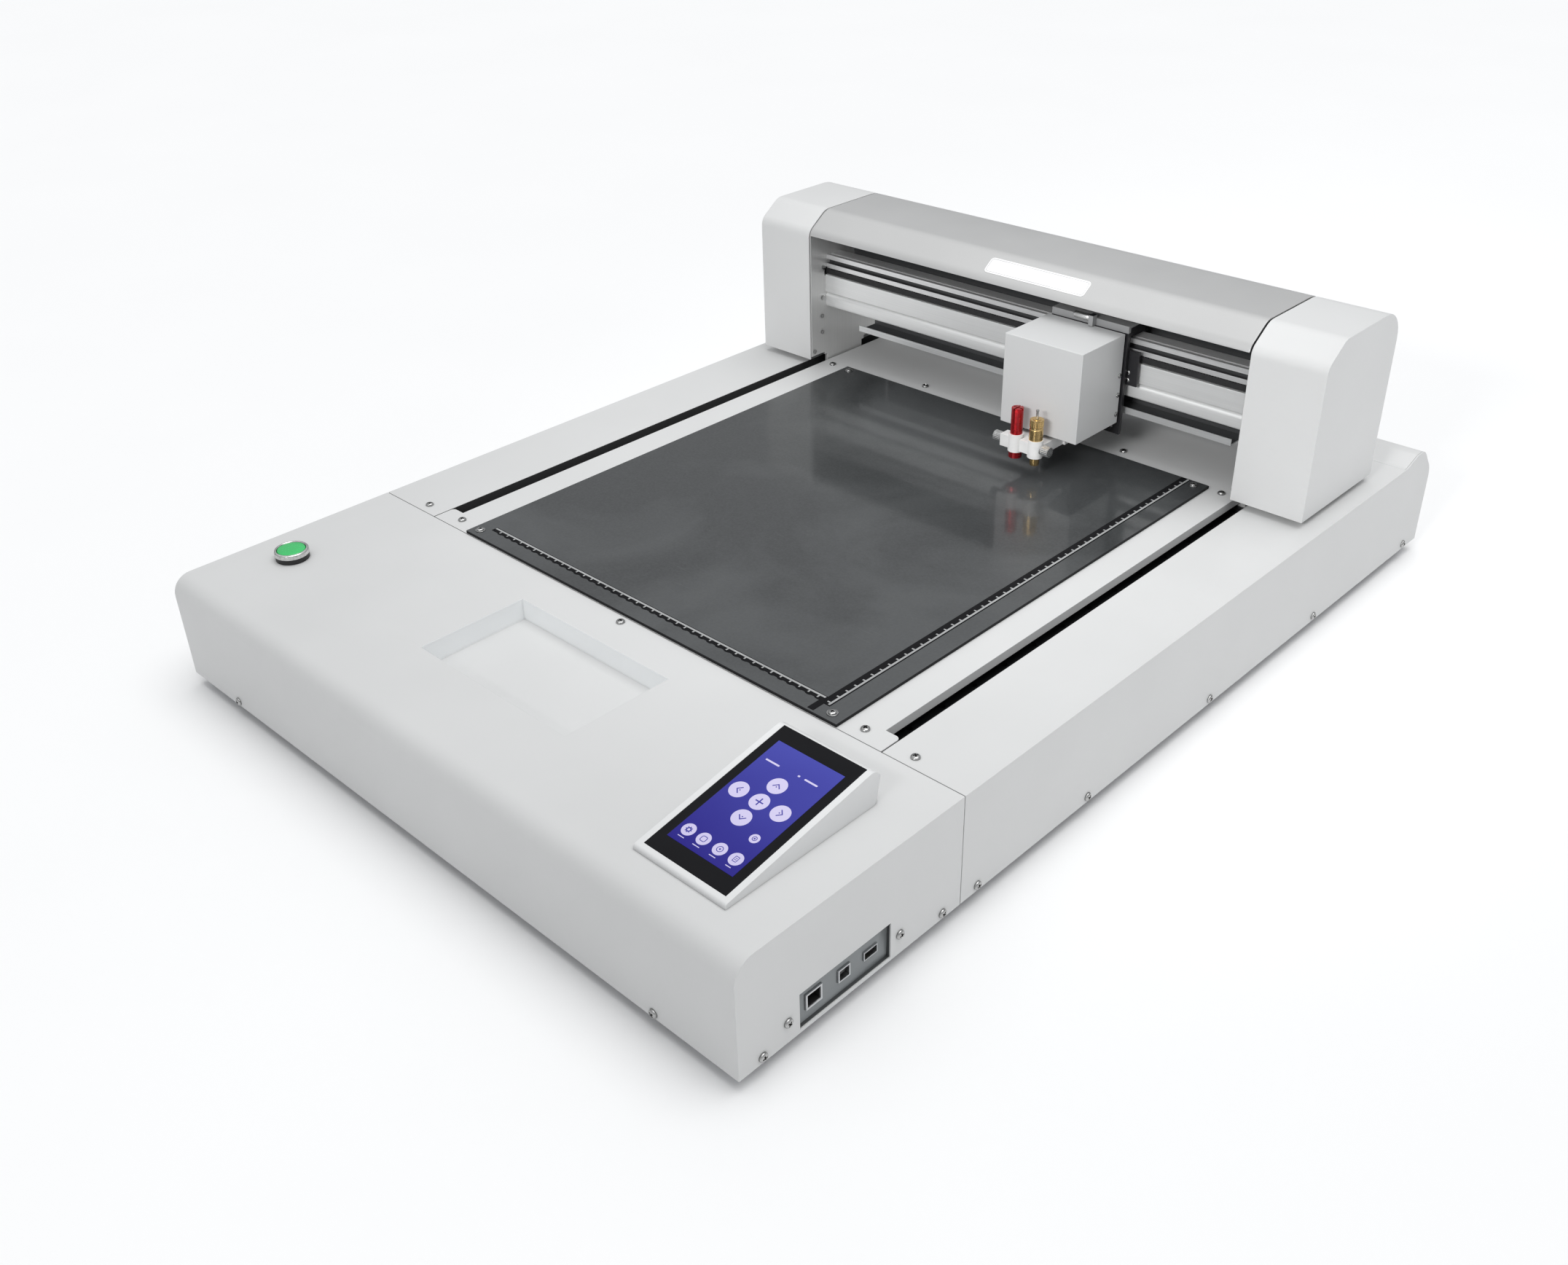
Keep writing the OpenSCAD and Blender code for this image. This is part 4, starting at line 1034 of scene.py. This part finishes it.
def roundBox(at, wide, tall, corner, steps=6):
    points = []
    for k, (sx, sy) in enumerate(((1, 1), (-1, 1), (-1, -1), (1, -1))):
        cx, cy = at[0] + sx * (wide / 2 - corner), at[1] + sy * (tall / 2 - corner)
        points += [(cx + corner * math.cos(a), cy + corner * math.sin(a))
                   for a in (math.pi / 2 * (k + i / steps) for i in range(steps + 1))]
    return points


def hoop(shape, outer, inner, low, high):  # ring between two outlines with the same number of points
    rings = [[shape.verts.new((u * mm, v * mm, w * mm)) for u, v in outline]
             for outline, w in ((outer, low), (outer, high), (inner, high), (inner, low))]
    count = len(outer)
    for one, two in zip(rings, rings[1:] + rings[:1]):
        for i in range(count):
            shape.faces.new((one[i], one[(i + 1) % count], two[(i + 1) % count], two[i]))


# screen: round keys with plain signs, and bars where readings would stand

screenShape = {
    "keyTop": 0.03, "signTop": 0.06,
    "pad": {"plus": (30.4, 58.6), "up": (30.3, 76.6), "right": (49.9, 59.0), "down": (30.5, 40.9),
            "left": (10.4, 58.9)},
    "padRadius": 7.5,
    "row": {"gear": (8.8, 12.1), "loop": (23.3, 12.1), "aim": (38.9, 12.1), "page": (53.9, 12.1)},
    "rowRadius": 5.5,
    "smallAim": ((51.4, 32.4), 4.0),
    "bars": (((11.7, 91.4), 13.0, 1.5), ((47.5, 92.2), 12.0, 1.5), ((36.2, 92.2), 2.0, 1.5),
             ((8.8, 4.6), 6.0, 0.7), ((23.3, 4.6), 6.5, 0.7), ((38.9, 4.6), 6.0, 0.7),
             ((53.9, 4.6), 5.0, 0.7)),
}


def buildScreen(s):
    low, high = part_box("display_panel")
    plane = facePlane(nodes["display_panel"].data, lambda n: n.z > 0.5)
    frameOf = faceMatrix(plane, low.x, low.y)

    def keys(shape):
        for at in s["pad"].values():
            tile(shape, disc(at, s["padRadius"], 48), -0.01, s["keyTop"])
        for at in s["row"].values():
            tile(shape, disc(at, s["rowRadius"], 40), -0.01, s["keyTop"])
        tile(shape, disc(*s["smallAim"]), -0.01, s["keyTop"])
        for at, long, thick in s["bars"]:
            tile(shape, roundBox(at, long, thick, thick * 0.4, 3), -0.01, s["keyTop"])

    def signs(shape):
        base, top = s["keyTop"], s["signTop"]
        px, py = s["pad"]["plus"]
        tile(shape, bar((px, py), 7.0, 1.1), base, top)
        tile(shape, bar((px, py + 2.05), 1.1, 3.0), base, top)
        tile(shape, bar((px, py - 2.05), 1.1, 3.0), base, top)
        for way, tilt in (("up", 90), ("right", 0), ("down", 270), ("left", 180)):
            cx, cy = s["pad"][way]
            ca, sa = math.cos(math.radians(tilt)), math.sin(math.radians(tilt))
            arrow = [(2.3, 0), (-1.2, 3.5), (-1.8, 2.9), (1.1, 0), (-1.8, -2.9), (-1.2, -3.5)]
            tile(shape, [(cx + u * ca - v * sa, cy + u * sa + v * ca) for u, v in arrow], base, top)
            tile(shape, disc((cx - 1.0 * ca, cy - 1.0 * sa), 0.55, 12), base, top)
        at = s["row"]["gear"]
        hoop(shape, disc(at, 2.1, 24), disc(at, 1.1, 24), base, top)
        for i in range(8):
            a = math.pi / 4 * i
            tooth = (at[0] + 2.35 * math.cos(a), at[1] + 2.35 * math.sin(a))
            tile(shape, bar(tooth, 0.9, 0.8, math.degrees(a)), base, top)
        at = s["row"]["loop"]
        hoop(shape, roundBox(at, 5.0, 5.0, 1.6), roundBox(at, 3.8, 3.8, 1.0), base, top)
        for at, r in ((s["row"]["aim"], 2.6), (s["smallAim"][0], 2.0)):
            hoop(shape, disc(at, r, 28), disc(at, r - 0.55, 28), base, top)
            tile(shape, disc(at, 0.75, 16), base, top)
        at = s["row"]["page"]
        hoop(shape, roundBox(at, 3.8, 5.0, 0.6), roundBox(at, 2.8, 4.0, 0.3), base, top)
        tile(shape, bar((at[0], at[1] + 0.7), 1.8, 0.45), base, top)
        tile(shape, bar((at[0], at[1] - 0.6), 1.8, 0.45), base, top)

    for name, build, surface in (("screen_keys", keys, iconLilac), ("screen_signs", signs, iconInk)):
        mesh = meshFrom(name, build)
        mesh.transform(frameOf)
        addPiece(name, mesh, bodyOf["display_panel"], surface)


buildScreen(screenShape)
print("screen drawn")


# blank label on the beam's slope

labelShape = {"wide": 119.0, "tall": 15.2, "corner": 4.0, "thick": 0.45, "middle": 26.0, "fromFront": 751.4}


def buildLabel(s):
    plane = facePlane(shells["beam_cover"].data, lambda n: n.y < -0.25 and n.z > 0.25)
    frameOf = faceMatrix(plane, s["middle"] * mm, s["fromFront"] * mm + consoleFront)
    tall = s["tall"] / plane[0].z

    def plate(shape):
        tile(shape, roundBox((0, 0), s["wide"], tall, s["corner"]), -0.02, s["thick"])

    def border(shape):
        hoop(shape, roundBox((0, 0), s["wide"] - 3, tall - 3, s["corner"] - 1.5),
             roundBox((0, 0), s["wide"] - 4, tall - 4, s["corner"] - 2),
             s["thick"] - 0.02, s["thick"] + 0.03)

    for name, build, surface in (("beam_label", plate, labelWhite), ("label_border", border, labelGrey)):
        mesh = meshFrom(name, build)
        mesh.transform(frameOf)
        mesh = softened(mesh, 0.1 if build is plate else 0, 40)
        addPiece(name, mesh, bodyOf["beam_cover"], surface)


buildLabel(labelShape)
print("label fixed")


# inside of the sockets

socketShape = {"shell": 1.6, "liner": 0.7, "contacts": 8, "pitch": 1.15}


def buildSockets(s):
    netLow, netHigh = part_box("ethernet_socket")
    squareLow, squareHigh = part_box("usb_b_socket")
    flatLow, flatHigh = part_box("usb_a_socket")
    inletLow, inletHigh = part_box("power_inlet")
    net, square, flat, inlet = ((low + high) / 2 for low, high in (
        (netLow, netHigh), (squareLow, squareHigh), (flatLow, flatHigh), (inletLow, inletHigh)))

    def liner(shape):
        gap, t = s["shell"] * mm, s["liner"] * mm
        a = netLow + Vector((4 * mm, gap, gap))
        b = netHigh - Vector((0.6 * mm, gap, gap))
        mouth = a.x + 1.5 * mm
        block(shape, a, (mouth, b.y, b.z))
        block(shape, (mouth, a.y, a.z), (b.x, b.y, a.z + t))
        block(shape, (mouth, a.y, b.z - t), (b.x, b.y, b.z))
        block(shape, (mouth, a.y, a.z + t), (b.x, a.y + t, b.z - t))
        block(shape, (mouth, b.y - t, a.z + t), (b.x, b.y, b.z - t))
        block(shape, (squareLow.x + 3.8 * mm, square.y - 2.8 * mm, square.z - 1.6 * mm),
              (squareHigh.x - 2.5 * mm, square.y + 2.8 * mm, square.z + 1.6 * mm))
        block(shape, (flatLow.x + 3.8 * mm, flatLow.y + 1.2 * mm, flat.z + 0.1 * mm),
              (flatHigh.x - 1.5 * mm, flatHigh.y - 1.2 * mm, flat.z + 1.9 * mm))

    def strips(shape, count, step, middle, half, *spans):  # equal contacts side by side
        for i in range(count):
            y = middle + (i - (count - 1) / 2) * step * mm
            for (x0, z0), (x1, z1) in spans:
                block(shape, (x0, y - half * mm, z0), (x1, y + half * mm, z1))

    def contacts(shape):
        x, z = netHigh.x, netHigh.z
        strips(shape, s["contacts"], s["pitch"], net.y, 0.25,
               ((netLow.x + 5.5 * mm, z - 3.9 * mm), (x - 3 * mm, z - 3.3 * mm)),
               ((x - 3.6 * mm, z - 3.3 * mm), (x - 3 * mm, z - 2.3 * mm)))
        strips(shape, 2, 2.6, square.y, 0.5,
               ((squareLow.x + 6 * mm, square.z + 1.6 * mm), (squareHigh.x - 4 * mm, square.z + 1.72 * mm)))
        strips(shape, 4, 2.3, flat.y, 0.5,
               ((flatLow.x + 6 * mm, flat.z - 0.02 * mm), (flatHigh.x - 4 * mm, flat.z + 0.1 * mm)))

    def prongs(shape):
        for across, rise in ((-6.5, -1.6), (0, 2.2), (6.5, -1.6)):
            x, z = inlet.x + across * mm, inlet.z + rise * mm
            block(shape, (x - 1.0 * mm, inletLow.y + 5.5 * mm, z - 2.0 * mm),
                  (x + 1.0 * mm, inletHigh.y - 4 * mm, z + 2.0 * mm))

    for name, build, surface, node, edge in (
            ("socket_liners", liner, blackPlastic, "ethernet_socket", 0.12),
            ("socket_contacts", contacts, contactGold, "ethernet_socket", 0.05),
            ("inlet_prongs", prongs, screwSteel, "power_inlet", 0.25)):
        addPiece(name, softened(meshFrom(name, build), edge), bodyOf[node], surface)


buildSockets(socketShape)
print("sockets fitted")


# studio: pale floor, soft light and the camera

studio = {
    "floorTone": (0.955, 0.955, 0.955),
    "floorHalf": 30.0,
    "skyTop": (0.84, 0.85, 0.86),
    "skyLow": (0.185, 0.192, 0.203),
    "skyStrength": 1.0,
    "sunPower": 1.28, "sunAngle": 50, "sunFrom": (0.2, 0.1, 1.0),
    "stripAt": (0.30, -1.25, 0.90), "stripAim": (0.06, 0.29, 0.15), "stripSize": (0.7, 0.2),
    "stripPower": 0.75, "stripSpread": 34,
    "eye": (0.8546, -0.9388, 0.766),
    "yaw": 0.7815, "pitch": -0.5559, "roll": -0.0275,
    "lens": 34.61,
}


def buildStudio(s):
    half = s["floorHalf"]
    floorMesh = meshFrom("floor", lambda shape: shape.faces.new(
        [shape.verts.new((x * half, y * half, -0.0002)) for x, y in ((-1, -1), (1, -1), (1, 1), (-1, 1))]))
    floor = placed("floor", floorMesh)
    made, tree, shader = newFinish("floor_paper", Roughness=0.8, Specular_IOR_Level=0.2)
    where = place(tree)
    fibre = tones(tree, noise(tree, where, 3, 3), s["floorTone"], (0.3, 0.995), (0.7, 1.005))
    tree.links.new(fibre, shader.inputs["Base Color"])
    floorMesh.materials.append(made)

    world = bpy.data.worlds.new("studio")
    bpy.context.scene.world = world
    world.use_nodes = True
    tree = world.node_tree
    sky = tree.nodes["Background"]
    sky.inputs["Strength"].default_value = s["skyStrength"]
    where = added(tree, "ShaderNodeTexCoord")
    parts = added(tree, "ShaderNodeSeparateXYZ")
    wire(tree, (where, "Generated", parts, "Vector"))
    rise = spread(tree, parts.outputs["Z"], 0, 1)
    tree.links.new(ramp(tree, rise, (0.0, s["skyLow"]), (1.0, s["skyTop"])), sky.inputs["Color"])

    def lamp(name, kind, at, aim, power):
        data = bpy.data.lights.new(name, kind)
        data.energy = power
        made = placed(name, data)
        made.location = at
        made.rotation_euler = (Vector(aim) - Vector(at)).to_track_quat("-Z", "Y").to_euler()
        return data

    sun = lamp("wideSun", "SUN", s["sunFrom"], (0, 0, 0), s["sunPower"])
    sun.angle = math.radians(s["sunAngle"])
    strip = lamp("strip", "AREA", s["stripAt"], s["stripAim"], s["stripPower"])
    strip.shape = "RECTANGLE"
    strip.size, strip.size_y = s["stripSize"]
    strip.spread = math.radians(s["stripSpread"])

    data = bpy.data.cameras.new("camera")
    data.lens = s["lens"]
    data.sensor_width = 36
    data.clip_start, data.clip_end = 0.02, 120
    camera = placed("camera", data)
    yaw, pitch, roll = s["yaw"], s["pitch"], s["roll"]
    ahead = Vector((-math.sin(yaw) * math.cos(pitch), math.cos(yaw) * math.cos(pitch), math.sin(pitch)))
    right = Vector((math.cos(yaw), math.sin(yaw), 0))
    up = right.cross(ahead)
    across = right * math.cos(roll) + up * math.sin(roll)
    above = up * math.cos(roll) - right * math.sin(roll)
    camera.matrix_world = Matrix.Translation(s["eye"]) @ Matrix((across, above, -ahead)).transposed().to_4x4()
    bpy.context.scene.camera = camera
    bpy.context.scene.view_settings.view_transform = "Standard"


buildStudio(studio)
print("studio set")
